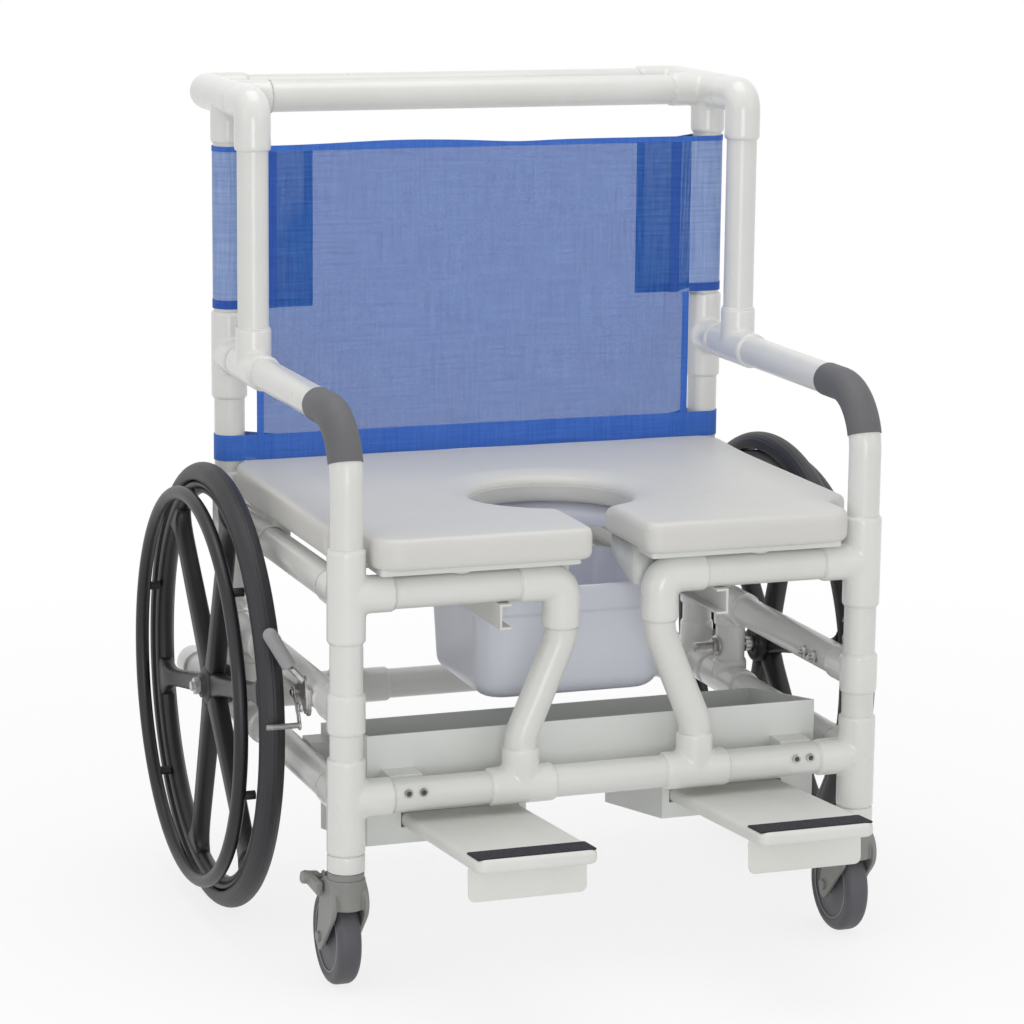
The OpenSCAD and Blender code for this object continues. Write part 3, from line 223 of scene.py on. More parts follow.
def tube_along(points, radius, sides, closed=False):
    """A round tube that follows a line of points, or a bar where its ends are closed."""
    points = [Vector(p) for p in points]
    side = None
    rings = []
    for i, p in enumerate(points):
        ahead = (points[min(i + 1, len(points) - 1)] - points[max(i - 1, 0)]).normalized()
        if side is None:
            side = ahead.orthogonal().normalized()
        side = (side - ahead * side.dot(ahead)).normalized()
        other = ahead.cross(side)
        rings.append([p + (side * math.cos(a) + other * math.sin(a)) * radius for a in around(sides)])
    return skinned(rings, closed)


def joined(parts):
    """One list of points and faces from several."""
    verts, faces = [], []
    for v, f in parts:
        faces += [tuple(i + len(verts) for i in face) for face in f]
        verts += list(v)
    return verts, faces


def mirrored(verts, faces):
    """The same piece on the other side of the chair."""
    return [Vector((-v[0], v[1], v[2])) for v in verts], [tuple(reversed(f)) for f in faces]


def both_sides(*parts):
    """One list of points and faces from several parts and their twins on the other side."""
    return joined([*parts, *(mirrored(*part) for part in parts)])


LEGS_Y = -0.259  # the chair's depths are measured from its front legs
PIPE_R = 0.0211
BENT_R, BENT_ANGLE = 0.060, math.radians(23)
BENT_IN, BENT_OUT = 0.068, 0.121
BENT_TOP, BENT_LOW = 0.491, 0.2777
bend_side = BENT_R * (1 - math.cos(BENT_ANGLE))
slant = (BENT_OUT - BENT_IN - 2 * bend_side) / math.sin(BENT_ANGLE)
spare = BENT_TOP - BENT_LOW - 2 * BENT_R * math.sin(BENT_ANGLE) - slant * math.cos(BENT_ANGLE)
upper = spare * 0.556
route = [(BENT_IN, LEGS_Y, BENT_TOP)]
for i in range(17):
    a = BENT_ANGLE * i / 16
    route.append((BENT_IN + BENT_R * (1 - math.cos(a)), LEGS_Y, BENT_TOP - upper - BENT_R * math.sin(a)))
for i in range(17):
    a = BENT_ANGLE * (1 - i / 16)
    z = BENT_LOW + (spare - upper) + BENT_R * math.sin(a)
    route.append((BENT_OUT - BENT_R * (1 - math.cos(a)), LEGS_Y, z))
route.append((BENT_OUT, LEGS_Y, BENT_LOW))
bent_tubes = made("bent_tubes", *both_sides(tube_along(route, PIPE_R, 56)), pipe_white, "frame", "pipe")
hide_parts("bent_front_tubes")


# Pipe fittings
# Injection-moulded elbows and tees, a shade whiter and glossier than the pipe, with soft fillets
# between their hubs. A thin bead of cement squeezes out of each mouth where the pipe goes in.
fitting_white = moulded("fitting_white", srgb(229, 229, 226), srgb(212, 211, 206), 0.4, 0.25, 1.6, 0.03, 0.25)
dress(fitting_white, "rail_end_caps")
X, Y, Z = Vector((1, 0, 0)), Vector((0, 1, 0)), Vector((0, 0, 1))
LEG_X, REAR_POST_X = 0.355, 0.185
AXLE_POST_Y, REAR_Y, PUSH_BAR_Y = 0.424, 0.548, 0.672
LOW, MIDDLE, SEAT, ARM, TOP = 0.254, 0.367, 0.518, 0.741, 1.094  # heights of the rails and bars
RUN, FIRST, SECOND = 0.0248, 0.0242, 0.0236  # radius of the hubs that the pipe runs through, then side hubs
HUB, LONG, SHORT = 0.060, 0.055, 0.026  # usual reach of a hub from the fitting's centre
ELBOW_R = 0.020
HUB_OVERLAP = 0.004
fittings = {  # the centre of each fitting, with the direction, reach and radius of its hubs
    "lower_corner_fittings": [
        ((LEG_X, 0, LOW), [(Z, 0.054, RUN), (-Z, 0.070, RUN), (-X, HUB, FIRST), (Y, HUB, SECOND)]),
    ],
    "seat_corner_fittings": [
        ((LEG_X, 0, SEAT), [(Z, HUB, RUN), (-Z, HUB, RUN), (-X, HUB, FIRST), (Y, HUB, SECOND)]),
        ((LEG_X, REAR_Y, SEAT), [(Z, HUB, RUN), (-Z, HUB, RUN), (-X, HUB, FIRST), (-Y, HUB, SECOND)]),
    ],
    "side_tees": [
        ((LEG_X, 0, MIDDLE), [(Z, SHORT, RUN), (-Z, SHORT, RUN), (Y, HUB, FIRST)]),
        ((LEG_X, REAR_Y, MIDDLE), [(Z, SHORT, RUN), (-Z, SHORT, RUN), (-Y, HUB, FIRST)]),
        ((LEG_X, AXLE_POST_Y, MIDDLE), [(Y, LONG, RUN), (-Y, LONG, RUN), (-Z, 0.031, FIRST)]),
        ((LEG_X, AXLE_POST_Y, LOW), [(Y, LONG, RUN), (-Y, LONG, RUN), (Z, 0.031, FIRST)]),
        ((LEG_X, REAR_Y, LOW), [(Y, HUB, RUN), (-Y, HUB, RUN), (Z, HUB, FIRST), (-X, HUB, SECOND)]),
    ],
    "upper_fittings": [
        ((LEG_X, AXLE_POST_Y, ARM), [(Y, LONG, RUN), (-Y, LONG, RUN), (Z, LONG, FIRST)]),
        ((LEG_X, REAR_Y, ARM), [(Z, HUB, RUN), (-Z, HUB, RUN), (-Y, HUB, FIRST)]),
        ((LEG_X, AXLE_POST_Y, TOP), [(Y, HUB, RUN), (-Z, HUB, RUN)]),
        ((LEG_X, REAR_Y, TOP), [(Y, HUB, RUN), (-Y, HUB, RUN), (-Z, HUB, FIRST), (-X, HUB, SECOND)]),
        ((LEG_X, PUSH_BAR_Y, TOP), [(-Y, HUB, RUN), (-X, HUB, RUN)]),
    ],
    "front_access_fittings": [
        ((BENT_IN, 0, SEAT), [(X, HUB, RUN), (-Z, HUB, RUN)]),
        ((BENT_OUT, 0, LOW), [(X, 0.044, RUN), (-X, 0.044, RUN), (Z, 0.050, FIRST)]),
    ],
    "rear_post_tees": [
        ((REAR_POST_X, REAR_Y, LOW), [(X, HUB, RUN), (-X, HUB, RUN), (Z, HUB, FIRST)]),
        ((REAR_POST_X, REAR_Y, SEAT), [(X, SHORT, RUN), (-X, SHORT, RUN), (-Z, HUB, FIRST)]),
    ],
}


def rod(points, radius, sides=40):
    """A closed round bar along a line of points."""
    return tube_along(points, radius, sides, True)


def melted(piece, voxel, rounds, keep=1.0):
    """Rebuilds a piece as one even skin, with its edges and inner corners eased as in a moulding."""
    skin = piece.modifiers.new("skin", "REMESH")
    skin.mode = "VOXEL"
    skin.voxel_size = voxel
    ease = piece.modifiers.new("ease", "SMOOTH")
    ease.factor = 0.5
    ease.iterations = rounds
    if keep < 1:
        piece.modifiers.new("fewer", "DECIMATE").ratio = keep
    graph = bpy.context.evaluated_depsgraph_get()
    mesh = bpy.data.meshes.new_from_object(piece.evaluated_get(graph))
    piece.modifiers.clear()
    piece.data = mesh
    mesh.polygons.foreach_set("use_smooth", [True] * len(mesh.polygons))


def outline(centre, hubs):
    """A fitting as closed bars: one along each hub, or a single bent bar where it is an elbow."""
    if len(hubs) == 2 and hubs[0][0].dot(hubs[1][0]) == 0:
        (first, reach, radius), (second, other_reach, _) = hubs
        arc = []
        for i in range(13):
            a = math.radians(90 * i / 12)
            arc.append(centre + (first * (1 - math.sin(a)) + second * (1 - math.cos(a))) * ELBOW_R)
        return [rod([centre + first * reach, *arc, centre + second * other_reach], radius)]
    return [rod([centre - out * HUB_OVERLAP, centre + out * reach], radius) for out, reach, radius in hubs]


def net(rows, n):
    """Faces of an open net of points, with n in each row."""
    return [
        (i * n + k, i * n + k + 1, (i + 1) * n + k + 1, (i + 1) * n + k)
        for i in range(rows - 1)
        for k in range(n - 1)
    ]


def bead(mouth, out, seed):
    """A ring of cement round the pipe at a mouth, higher and lower as it was squeezed out."""
    side = out.orthogonal().normalized()
    other = out.cross(side)
    rings = []
    for a in around(48):
        ray = side * math.cos(a) + other * math.sin(a)
        high = max(0.3, 0.6 + noise.noise(ray * 1.7 + Vector((seed * 3.1, 0, 0))))
        section = ((PIPE_R, 0.0018 * high), (0.0217, 0.0013 * high), (0.0224, 0.0006), (0.0230, -0.0012))
        rings.append([mouth + ray * r + out * s for r, s in section])
    rings.append(rings[0])
    return [v for ring in rings for v in ring], net(len(rings), len(rings[0]))


beads = []
for node, corners in fittings.items():
    bars = []
    for corner, hubs in corners:
        centre = Vector(corner) + Y * LEGS_Y
        bars += outline(centre, hubs)
        beads += [bead(centre + out * reach, out, len(beads) + i) for i, (out, reach, _) in enumerate(hubs)]
    fitting = made(f"{node}_skin", *both_sides(*bars), fitting_white, "frame", "pipe")
    melted(fitting, 0.0022, 8, 0.4)
    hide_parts(node)
made("cement_beads", *both_sides(*beads), fitting_white, "frame", "pipe")


# Leg ends
# A short collar of the same white plastic round the end of each front leg, under the lower
# corner fitting, that keeps the caster plug from splitting the pipe.
def circle(centre, radius):
    return [centre + Vector((radius * math.cos(a), radius * math.sin(a), 0)) for a in around(48)]


collar_profile = (
    (0.0213, 0.1606), (0.0232, 0.1608), (0.0241, 0.1616), (0.0244, 0.1630),
    (0.0244, 0.1812), (0.0240, 0.1826), (0.0230, 0.1834), (0.0213, 0.1836),
)
collar = skinned([circle(Vector((LEG_X, LEGS_Y, z)), r) for r, z in collar_profile], False)
made("leg_collars", *both_sides(collar), fitting_white, "frame", "pipe")


# Armrest sleeves
# Soft grey vinyl-foam tube slipped over the bend of each armrest where the hand rests. The skin
# is matt with a fine leathery grain.
sleeve_grey = moulded("sleeve_grey", srgb(98, 98, 101), srgb(120, 120, 123), 0.5, 0.62, 0.7, 0.35)
dress(sleeve_grey, "arm_grips")


# Tray and footrest runners
# A box of off-white sheet plastic, heat-welded at its corners and bolted to the rails through
# saddle blocks. It houses the footrest boards, which run in U-shaped runners.
sheet_white = moulded("sheet_white", srgb(226, 228, 225), srgb(210, 212, 207), 0.45, 0.42, 0.8, 0.06)
dress(sheet_white, "tray", "footrest_guides", "tray_spacers", "seat_base")


# Steel fasteners
# Stainless bolts, nuts, brackets and levers. They are turned or stamped and then tumbled, so
# they show fine brushed lines and a few darker stains.
def stretched(tree, where, scale):
    """Places on a surface scaled along each axis, so that noise draws out into lines."""
    node = tree.nodes.new("ShaderNodeMapping")
    node.inputs["Scale"].default_value = scale
    tree.links.new(where, node.inputs["Vector"])
    return node.outputs[0]


steel, tree, skin = new_finish("stainless")
skin.inputs["Metallic"].default_value = 1.0
where = tree.nodes.new("ShaderNodeTexCoord").outputs["Object"]
lines = cloud(tree, stretched(tree, where, (1.0, 1.0, 14.0)), 160.0, 5, 0.7)
stains = ramp(tree, cloud(tree, where, 70.0, 4), 0.45, 0.75)
put(tree, skin.inputs["Base Color"], blend_colours(tree, stains, srgb(196, 195, 194), srgb(138, 135, 131)))
put(tree, skin.inputs["Roughness"], calc(tree, "ADD", 0.22, calc(tree, "MULTIPLY", lines, 0.25)))
emboss(tree, skin, lines, 0.08, 0.0005)
dress(
    steel,
    "tray_bolts", "lock_brackets", "lock_bolts", "axle_bolts", "axle_nuts",
    "left_lock_lever", "right_lock_lever",
)


def prism(centre, out, radius, depth, sides, edge=0.0003):
    """A flat head, nut or washer that stands out level from a place, with its outer edge taken off."""
    side = Z.cross(out)
    other = out.cross(side)
    rays = [side * math.cos(a) + other * math.sin(a) for a in around(sides)]
    section = ((radius, 0.0), (radius, depth - edge), (radius - edge, depth))
    return skinned([[centre + ray * r + out * d for ray in rays] for r, d in section])


# The hex sockets of the tray bolts are thin dark discs on the bolt heads: painted shade that stands in for
# the recesses.
painted_recess_shade = moulded("painted_recess_shade", srgb(66, 66, 68), srgb(44, 44, 46), 0.5, 0.5)
hex_recess_shades, nuts = [], []
for x in (0.2585, 0.2785):
    hex_recess_shades.append(prism(Vector((x, LEGS_Y - 0.0234, 0.261)), -Y, 0.0037, 0.0003, 6, 0.0001))
for y in (0.091, 0.123):
    nuts.append(prism(Vector((0.3345, y + LEGS_Y, MIDDLE)), -X, 0.0095, 0.0018, 32))
    nuts.append(prism(Vector((0.3330, y + LEGS_Y, MIDDLE)), -X, 0.0078, 0.0066, 6, 0.0008))
made("tray_bolt_socket_shades", *both_sides(*hex_recess_shades), painted_recess_shade, "frame", "steel", False)
made("lock_nuts", *both_sides(*nuts), steel, "frame", "steel", False)


# Pail channels, seat clips and bumpers
# White extruded plastic channel screwed up under the seat rails, and small moulded clips and
# bumpers of the same plastic that locate the seat on the pipes.
channel_white = moulded("channel_white", srgb(222, 222, 218), srgb(198, 198, 192), 0.5, 0.33, 1.2, 0.05)
dress(channel_white, "pail_channels", "seat_clips", "seat_bumpers")


# Pail
# A pale grey blow-moulded pail with rounded corners and a deep plain rim band. It hangs by its
# side flanges in the channels and slides out to the rear.
pail_grey = moulded("pail_grey", srgb(230, 232, 243), srgb(216, 218, 230), 0.35, 0.32, 1.0, 0.03, 0.1)


def rounded_ring(half_w, half_l, radius, z, steps=10):
    """Points round a rectangle with rounded corners at one height."""
    pts = []
    for cx, cy, a0 in ((1, 1, 0), (-1, 1, 90), (-1, -1, 180), (1, -1, 270)):
        for i in range(steps + 1):
            a = math.radians(a0 + 90 * i / steps)
            x = cx * (half_w - radius) + radius * math.cos(a)
            y = cy * (half_l - radius) + radius * math.sin(a)
            pts.append(Vector((x, y, z)))
    return pts


PAIL_BOTTOM, PAIL_TOP, PAIL_RIM = 0.330, 0.482, 0.446
PAIL_Y = 0.2335 + LEGS_Y
PAIL_EDGE = 0.024  # radius of the rounded edge of the bottom
rings = []
for i in range(9):
    a = math.radians(90 * i / 8)
    inset = PAIL_EDGE * (1 - math.sin(a))
    z = PAIL_BOTTOM + PAIL_EDGE * (1 - math.cos(a))
    rings.append(rounded_ring(0.130 - inset, 0.1075 - inset, 0.034 - inset * 0.6, z))
rings += [
    rounded_ring(0.1345, 0.1120, 0.034, PAIL_RIM - 0.004),
    rounded_ring(0.1352, 0.1127, 0.034, PAIL_RIM - 0.0012),
    rounded_ring(0.1372, 0.1147, 0.035, PAIL_RIM + 0.0008),
    rounded_ring(0.1385, 0.1160, 0.036, PAIL_RIM + 0.004),
    rounded_ring(0.1395, 0.1170, 0.036, PAIL_TOP - 0.004),
    rounded_ring(0.1390, 0.1165, 0.036, PAIL_TOP - 0.001),
    rounded_ring(0.1375, 0.1150, 0.035, PAIL_TOP),
    rounded_ring(0.1345, 0.1120, 0.033, PAIL_TOP - 0.0003),
    rounded_ring(0.1330, 0.1105, 0.031, PAIL_TOP - 0.002),
    rounded_ring(0.1310, 0.1085, 0.031, 0.40),
    rounded_ring(0.1270, 0.1045, 0.031, PAIL_BOTTOM + 0.022),
    rounded_ring(0.1180, 0.0955, 0.026, PAIL_BOTTOM + 0.008),
    rounded_ring(0.1050, 0.0825, 0.018, PAIL_BOTTOM + 0.003),
]
flange_corners = ((0.132, -0.0935), (0.1534, -0.0935), (0.1534, 0.0935), (0.132, 0.0935))
flange = skinned([[Vector((x, y, z)) for x, y in flange_corners] for z in (0.467, 0.472)])
verts, faces = joined([skinned(rings), flange, mirrored(*flange)])
pail_skin = made("pail_skin", [v + Vector((0, PAIL_Y, 0)) for v in verts], faces, pail_grey, "pail", "pail")
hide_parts("pail")


# Footrest boards
# Each is a thick plank of white sheet plastic with its edges rounded over, a stop plate welded
# across underneath, and a strip of dark gritty tape near the front edge.
SIDES = (("left", -1), ("right", 1))
BOARD_TILT = math.radians(4.3)
BOARD_X, BOARD_Z = 0.1865, 0.2277
BOARD_REACH, BOARD_HALF = 0.250, 0.009  # in front of the legs, and half of its thickness
BOARD_LEN = (0.150 + BOARD_REACH - BOARD_HALF) / math.cos(BOARD_TILT)


def on_board(side, x, y, z):
    """A place on a board, from the middle of its rounded front edge, in metres."""
    return Vector((
        side * (BOARD_X + x),
        LEGS_Y - BOARD_REACH + BOARD_HALF + y * math.cos(BOARD_TILT) + z * math.sin(BOARD_TILT),
        BOARD_Z - y * math.sin(BOARD_TILT) + z * math.cos(BOARD_TILT),
    ))


def plank(x0, x1, y0, y1, z0, z1, edge, corner, axis):
    """A flat plank with rounded corners seen along axis and its edges rounded over."""
    spans = {"x": (x0, x1), "y": (y0, y1), "z": (z0, z1)}
    a, b = [k for k in "xyz" if k != axis]
    (a0, a1), (b0, b1), (c0, c1) = spans[a], spans[b], spans[axis]
    rings = []
    for i in range(6):
        t = math.radians(90 * i / 5)
        rings.append((edge * (1 - math.sin(t)), c0 + edge * (1 - math.cos(t))))
    rings += [(inset, c0 + c1 - c) for inset, c in reversed(rings)]
    out = []
    for inset, c in rings:
        ring = rounded_ring((a1 - a0) / 2 - inset, (b1 - b0) / 2 - inset, max(corner - inset, 0.0005), 0, 6)
        out.append([{a: (a0 + a1) / 2 + p.x, b: (b0 + b1) / 2 + p.y, axis: c} for p in ring])
    return [[(p["x"], p["y"], p["z"]) for p in ring] for ring in out]


def laid(side, rings):
    """Points and faces of a plank that is given in a board's own measures."""
    return skinned([[on_board(side, *p) for p in ring] for ring in rings])


board_white = moulded("board_white", srgb(226, 227, 222), srgb(210, 210, 203), 0.45, 0.4, 0.7, 0.06)
grit, tree, skin = new_finish("grit_tape")
where = tree.nodes.new("ShaderNodeTexCoord").outputs["Object"]
grains = tree.nodes.new("ShaderNodeTexVoronoi")
grains.inputs["Scale"].default_value = 900.0
tree.links.new(where, grains.inputs["Vector"])
# The pale specks in the tape's colour are painted glints off the grit. The same specks are also made
# glossier.
painted_glints = ramp(tree, cloud(tree, where, 620.0, 2), 0.6, 0.72)
put(tree, skin.inputs["Base Color"], blend_colours(tree, painted_glints, srgb(34, 34, 41), srgb(80, 80, 88)))
put(tree, skin.inputs["Roughness"], calc(tree, "SUBTRACT", 0.9, calc(tree, "MULTIPLY", painted_glints, 0.4)))
emboss(tree, skin, grains.outputs["Distance"], 0.7, 0.0006)
deck = plank(-0.0795, 0.0795, -BOARD_HALF, BOARD_LEN, -BOARD_HALF, BOARD_HALF, 0.006, 0.014, "z")
stop = plank(-0.0775, 0.0775, 0.032, 0.036, -0.052, -0.004, 0.0015, 0.009, "y")
strip = plank(-0.0775, 0.0775, -0.0040, 0.0390, 0.0082, 0.0102, 0.0006, 0.003, "z")
for name, side in SIDES:
    welded = joined([laid(side, deck), laid(side, stop)])
    board = made(f"{name}_board", *welded, board_white, f"{name}_footrest", "tray_sheet")
    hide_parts(f"{name}_footrest_board")
    tape = made(f"{name}_tape", *laid(side, strip), grit, f"{name}_footrest", "grip_strip")
    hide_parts(f"{name}_footrest_strip")


# Rear tyres
# Solid black polyurethane tyres snapped over the wheel rims. The tread has a few shallow grooves
# round the crown and a fine step on each shoulder.
AXLE = Vector((0.413, AXLE_POST_Y + LEGS_Y, 0.305))


def on_side(side, verts, faces):
    """A piece made for the right side of the chair, or its twin on the left."""
    return (verts, faces) if side > 0 else mirrored(verts, faces)


def turned(profile, axle, side, steps):
    """A closed profile of radius and offset along an axle, turned about it on one side of the chair."""
    verts, faces, n = [], [], len(profile)
    for a in around(steps):
        for r, s in profile:
            verts.append(Vector((axle.x + s, axle.y + r * math.cos(a), axle.z + r * math.sin(a))))
    for k in range(steps):
        m = (k + 1) % steps
        for i in range(n):
            j = (i + 1) % n
            faces.append((k * n + i, m * n + i, m * n + j, k * n + j))
    return on_side(side, verts, faces)


tyre_black = moulded("tyre_black", srgb(35, 34, 38), srgb(58, 57, 62), 0.5, 0.5, 1.0, 0.12)
CORE_R, SECTION_R = 0.288, 0.017  # the middle of the tyre's section, and the section itself
GROOVE, GROOVE_PITCH = 0.0005, 0.006
tread = []
for i in range(73):
    a = math.radians(-112 + 224 * i / 72)
    r, s = CORE_R + SECTION_R * math.cos(a), SECTION_R * math.sin(a)
    groove = 0.0
    if abs(s) < 0.0125 and r > 0.29:
        groove = GROOVE * max(0.0, math.cos(2 * math.pi * s / GROOVE_PITCH)) ** 4
    if 0.0138 < abs(s) < 0.0150 and r > CORE_R:
        groove = GROOVE
    tread.append((r - groove * math.cos(a), s - groove * math.sin(a)))
for name, side in SIDES:
    tyre = made(f"{name}_tread", *turned(tread, AXLE, side, 192), tyre_black, f"{name}_rear_wheel", "tyre")
    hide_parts(f"{name}_tyre")


# Rear wheels
# One-piece moulded composite wheels: a rounded rim, six deep tapering spokes that flare into it,
# and a hub with a raised collar, which turns on the axle bolt.
wheel_black = moulded("wheel_black", srgb(21, 20, 24), srgb(36, 35, 40), 0.5, 0.42, 0.9, 0.08)
SPOKE_PHASE = math.radians(11)
SPOKE_IN, SPOKE_OUT = 0.020, 0.2655
rim_profile = [
    (0.2787, -0.0125), (0.2787, 0.0125), (0.2745, 0.0131), (0.2705, 0.0118), (0.2670, 0.0100),
    (0.2640, 0.0070), (0.2625, 0.0030), (0.2622, 0.0), (0.2625, -0.0030), (0.2640, -0.0070),
    (0.2670, -0.0100), (0.2705, -0.0118), (0.2745, -0.0131),
]
hub_profile = [
    (0.0065, 0.0200), (0.0150, 0.0200), (0.0165, 0.0193), (0.0170, 0.0150), (0.0235, 0.0140),
    (0.0262, 0.0120), (0.0270, 0.0090), (0.0270, -0.0190), (0.0255, -0.0225), (0.0220, -0.0240),
    (0.0065, -0.0240),
]


def spoke(angle, side):
    """A spoke as rounded sections from the hub to the rim, deeper at the hub and flared at the ends."""
    along = Vector((0, math.cos(angle), math.sin(angle)))
    across = Vector((0, -math.sin(angle), math.cos(angle)))
    rings = []
    for i in range(25):
        t = i / 24
        r = SPOKE_IN + (SPOKE_OUT - SPOKE_IN) * t
        flare = 0.005 * math.exp(-abs(r - 0.026) / 0.012) + 0.020 * math.exp(-(SPOKE_OUT - r) / 0.015)
        half_w = 0.0135 - 0.0025 * t + flare
        half_d = 0.0130 - 0.0015 * t
        ring = []
        for a in around(20):
            c, s = math.cos(a), math.sin(a)
            u = math.copysign(abs(c) ** 0.55, c) * half_w
            d = math.copysign(abs(s) ** 0.55, s) * half_d
            ring.append(Vector((AXLE.x + d, AXLE.y, AXLE.z)) + along * r + across * u)
        rings.append(ring)
    return on_side(side, *skinned(rings))


for name, side in SIDES:
    parts = [turned(rim_profile, AXLE, side, 160), turned(hub_profile, AXLE, side, 64)]
    parts += [spoke(math.radians(60 * k) - SPOKE_PHASE, side) for k in range(6)]
    wheel = made(f"{name}_spoked_wheel", *joined(parts), wheel_black, f"{name}_rear_wheel", "wheel")
    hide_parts(f"{name}_wheel")


# Hand rims
# A ring of steel tube with a black plastic skin, held off the wheel by six short standoffs. The
# skin is worn smoother where hands push it.
rim_coat = moulded("handrim_black", srgb(23, 22, 26), srgb(42, 41, 46), 0.45, 0.4, 1.2, 0.05)
dress(rim_coat, "left_handrim", "right_handrim")


# Axle ends
# The axle bolts go through the posts. Inside, each has a washer and a nut, and a length of bare
# thread beyond the nut.
THREAD_PITCH, THREAD_TURNS = 0.0016, 16
thread = [(0.0008, 0.0)]
for i in range(THREAD_TURNS):
    thread += [(0.0061, THREAD_PITCH * i), (0.0068, THREAD_PITCH * i + 0.0008)]
thread.append((0.0008, THREAD_PITCH * THREAD_TURNS))
washer = prism(Vector((0.3340, AXLE.y, AXLE.z)), -X, 0.0155, 0.0020, 40)
ends = []
for side in (-1, 1):
    ends.append(turned(thread, Vector((0.2998, AXLE.y, AXLE.z)), side, 32))
    ends.append(on_side(side, *washer))
made("axle_ends", *joined(ends), steel, "frame", "steel", False)


# Casters
# Grey moulded forks with a hood that sweeps back over the wheel, a stem in a socket plug in the
# leg, a foot pedal for the brake, and a solid grey tread with a paler ring on each face.
caster_grey = moulded("caster_grey", srgb(142, 143, 139), srgb(120, 121, 117), 0.5, 0.45, 0.9, 0.12)
dress(caster_grey, "caster_sockets", "left_caster_axle", "right_caster_axle")


def softened(name, node, voxel, rounds, material, body):
    """A melted copy of a solid that stands in for it."""
    piece = bpy.data.objects.new(name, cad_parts[node].data.copy())
    bpy.context.scene.collection.objects.link(piece)
    mesh = bmesh.new()
    mesh.from_mesh(piece.data)
    bmesh.ops.remove_doubles(mesh, verts=mesh.verts, dist=0.00001)
    mesh.to_mesh(piece.data)
    mesh.free()
    melted(piece, voxel, rounds)
    piece.data.materials.clear()
    piece.data.materials.append(material)
    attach(piece, body)
    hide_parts(node)
    return piece


for name, _ in SIDES:
    fork = f"{name}_caster_fork"
    softened(f"{name}_fork_skin", fork, 0.0012, 6, caster_grey, f"{name}_caster")
pedal_arms = (  # the two ends of each bar from the foot of the stem, its radius and its sides
    ((-0.010, 0.0575, 0.1368), (-0.021, 0.0575, 0.1368), 0.0045, 20),  # the neck clears the roller
    ((-0.010, 0.0680, 0.1310), (-0.021, 0.0680, 0.1310), 0.0045, 20),
    ((-0.0190, 0.0615, 0.1355), (-0.041, 0.0590, 0.1380), 0.0085, 24),  # the tab for the foot
    ((-0.0190, 0.0690, 0.1335), (-0.037, 0.0660, 0.1375), 0.0075, 24),
    ((-0.0305, 0.0620, 0.1300), (-0.0312, 0.0120, 0.1290), 0.0040, 20),  # the flange beside the fork
    ((-0.0305, 0.0620, 0.1345), (-0.0312, 0.0120, 0.1350), 0.0048, 20),
    ((-0.0305, 0.0620, 0.1385), (-0.0312, 0.0120, 0.1405), 0.0052, 20),
)
for name, side in SIDES:
    stem = Vector((side * LEG_X, LEGS_Y, 0))
    bars = []
    for i in range(6):
        place = stem + Vector((0, 0.046 + 0.022 * i / 5, 0.143 - 0.012 * i / 5))
        bars.append(rod([place - X * 0.0133, place + X * 0.0133], 0.0045, 20))
    bars += [rod([stem + Vector(p), stem + Vector(q)], r, sides) for p, q, r, sides in pedal_arms]
    pedal = made(f"{name}_pedal_skin", *joined(bars), caster_grey, f"{name}_caster_brake", "caster_plastic")
    melted(pedal, 0.0011, 8)
    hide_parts(f"{name}_caster_pedal")
caster_tread = moulded("caster_tread", srgb(83, 83, 88), srgb(97, 97, 102), 0.5, 0.5, 1.0, 0.1)
ring_grey = moulded("ring_grey", srgb(146, 146, 152), srgb(126, 126, 132), 0.5, 0.4)
ring_profile = [(0.0462 + 0.0010 * math.cos(a), 0.0142 + 0.0010 * math.sin(a)) for a in around(8)]
caster_profile = [
    (0.00408, 0.0160), (0.0120, 0.0160), (0.0135, 0.0150), (0.0150, 0.0133), (0.0440, 0.0130),
    (0.0465, 0.0134), (0.0478, 0.0148), (0.0492, 0.0150), (0.0500, 0.0143), (0.0508, 0.0152),
]
for i in range(9):
    a = math.radians(90 * i / 8)
    caster_profile.append((0.0535 + 0.0100 * math.sin(a), 0.0060 + 0.0099 * math.cos(a)))
caster_profile += [(r, -s) for r, s in reversed(caster_profile)]
ROLLER_AXLE = Vector((LEG_X, 0.038 + LEGS_Y, 0.0635))
for name, side in SIDES:
    body = f"{name}_caster_roller"
    solid = turned(caster_profile, ROLLER_AXLE, side, 96)
    roller = made(f"{name}_roller", *solid, caster_tread, body, "caster_tread")
    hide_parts(f"{name}_caster_wheel")
    pair = [turned([(r, face * s) for r, s in ring_profile], ROLLER_AXLE, side, 96) for face in (-1, 1)]
    made(f"{name}_roller_rings", *joined(pair), ring_grey, body, "caster_tread")


# Wheel locks
# Stamped steel links riveted to a bracket on the rail. The shoe is a ribbed rod that the lever
# presses on the tyre. Grey vinyl is dipped over the lever's upper end and leaves a satin skin.
dip_grey = moulded("dip_grey", srgb(158, 158, 160), srgb(132, 132, 134), 0.5, 0.45, 1.0, 0.15)
dress(dip_grey, "left_lock_grip", "right_lock_grip")
LOCK_X = 0.3845
LINK_PIN = Vector((LOCK_X, 0.135 + LEGS_Y, 0.363))
SHOE_ROD = Vector((LOCK_X, 0.107 + LEGS_Y, 0.326))
LEVER_PIN = Vector((LOCK_X, 0.091 + LEGS_Y, 0.353))
knob = LINK_PIN.lerp(SHOE_ROD, 0.45) - Y * 0.007  # the lobe that the lever's cam pushes on
half_plate = X * 0.0014
discs = [(LINK_PIN, 0.0085), (knob, 0.0080), (SHOE_ROD, 0.0065)]
for start, end in ((LINK_PIN, knob), (knob, SHOE_ROD)):
    discs += [(start.lerp(end, i / 6), 0.0055) for i in range(1, 6)]
blank = joined([rod([p - half_plate, p + half_plate], r, 24) for p, r in discs])
RIB_PITCH, RIBS = 0.002, 22
ribbed = [(0.0005, 0.0)]
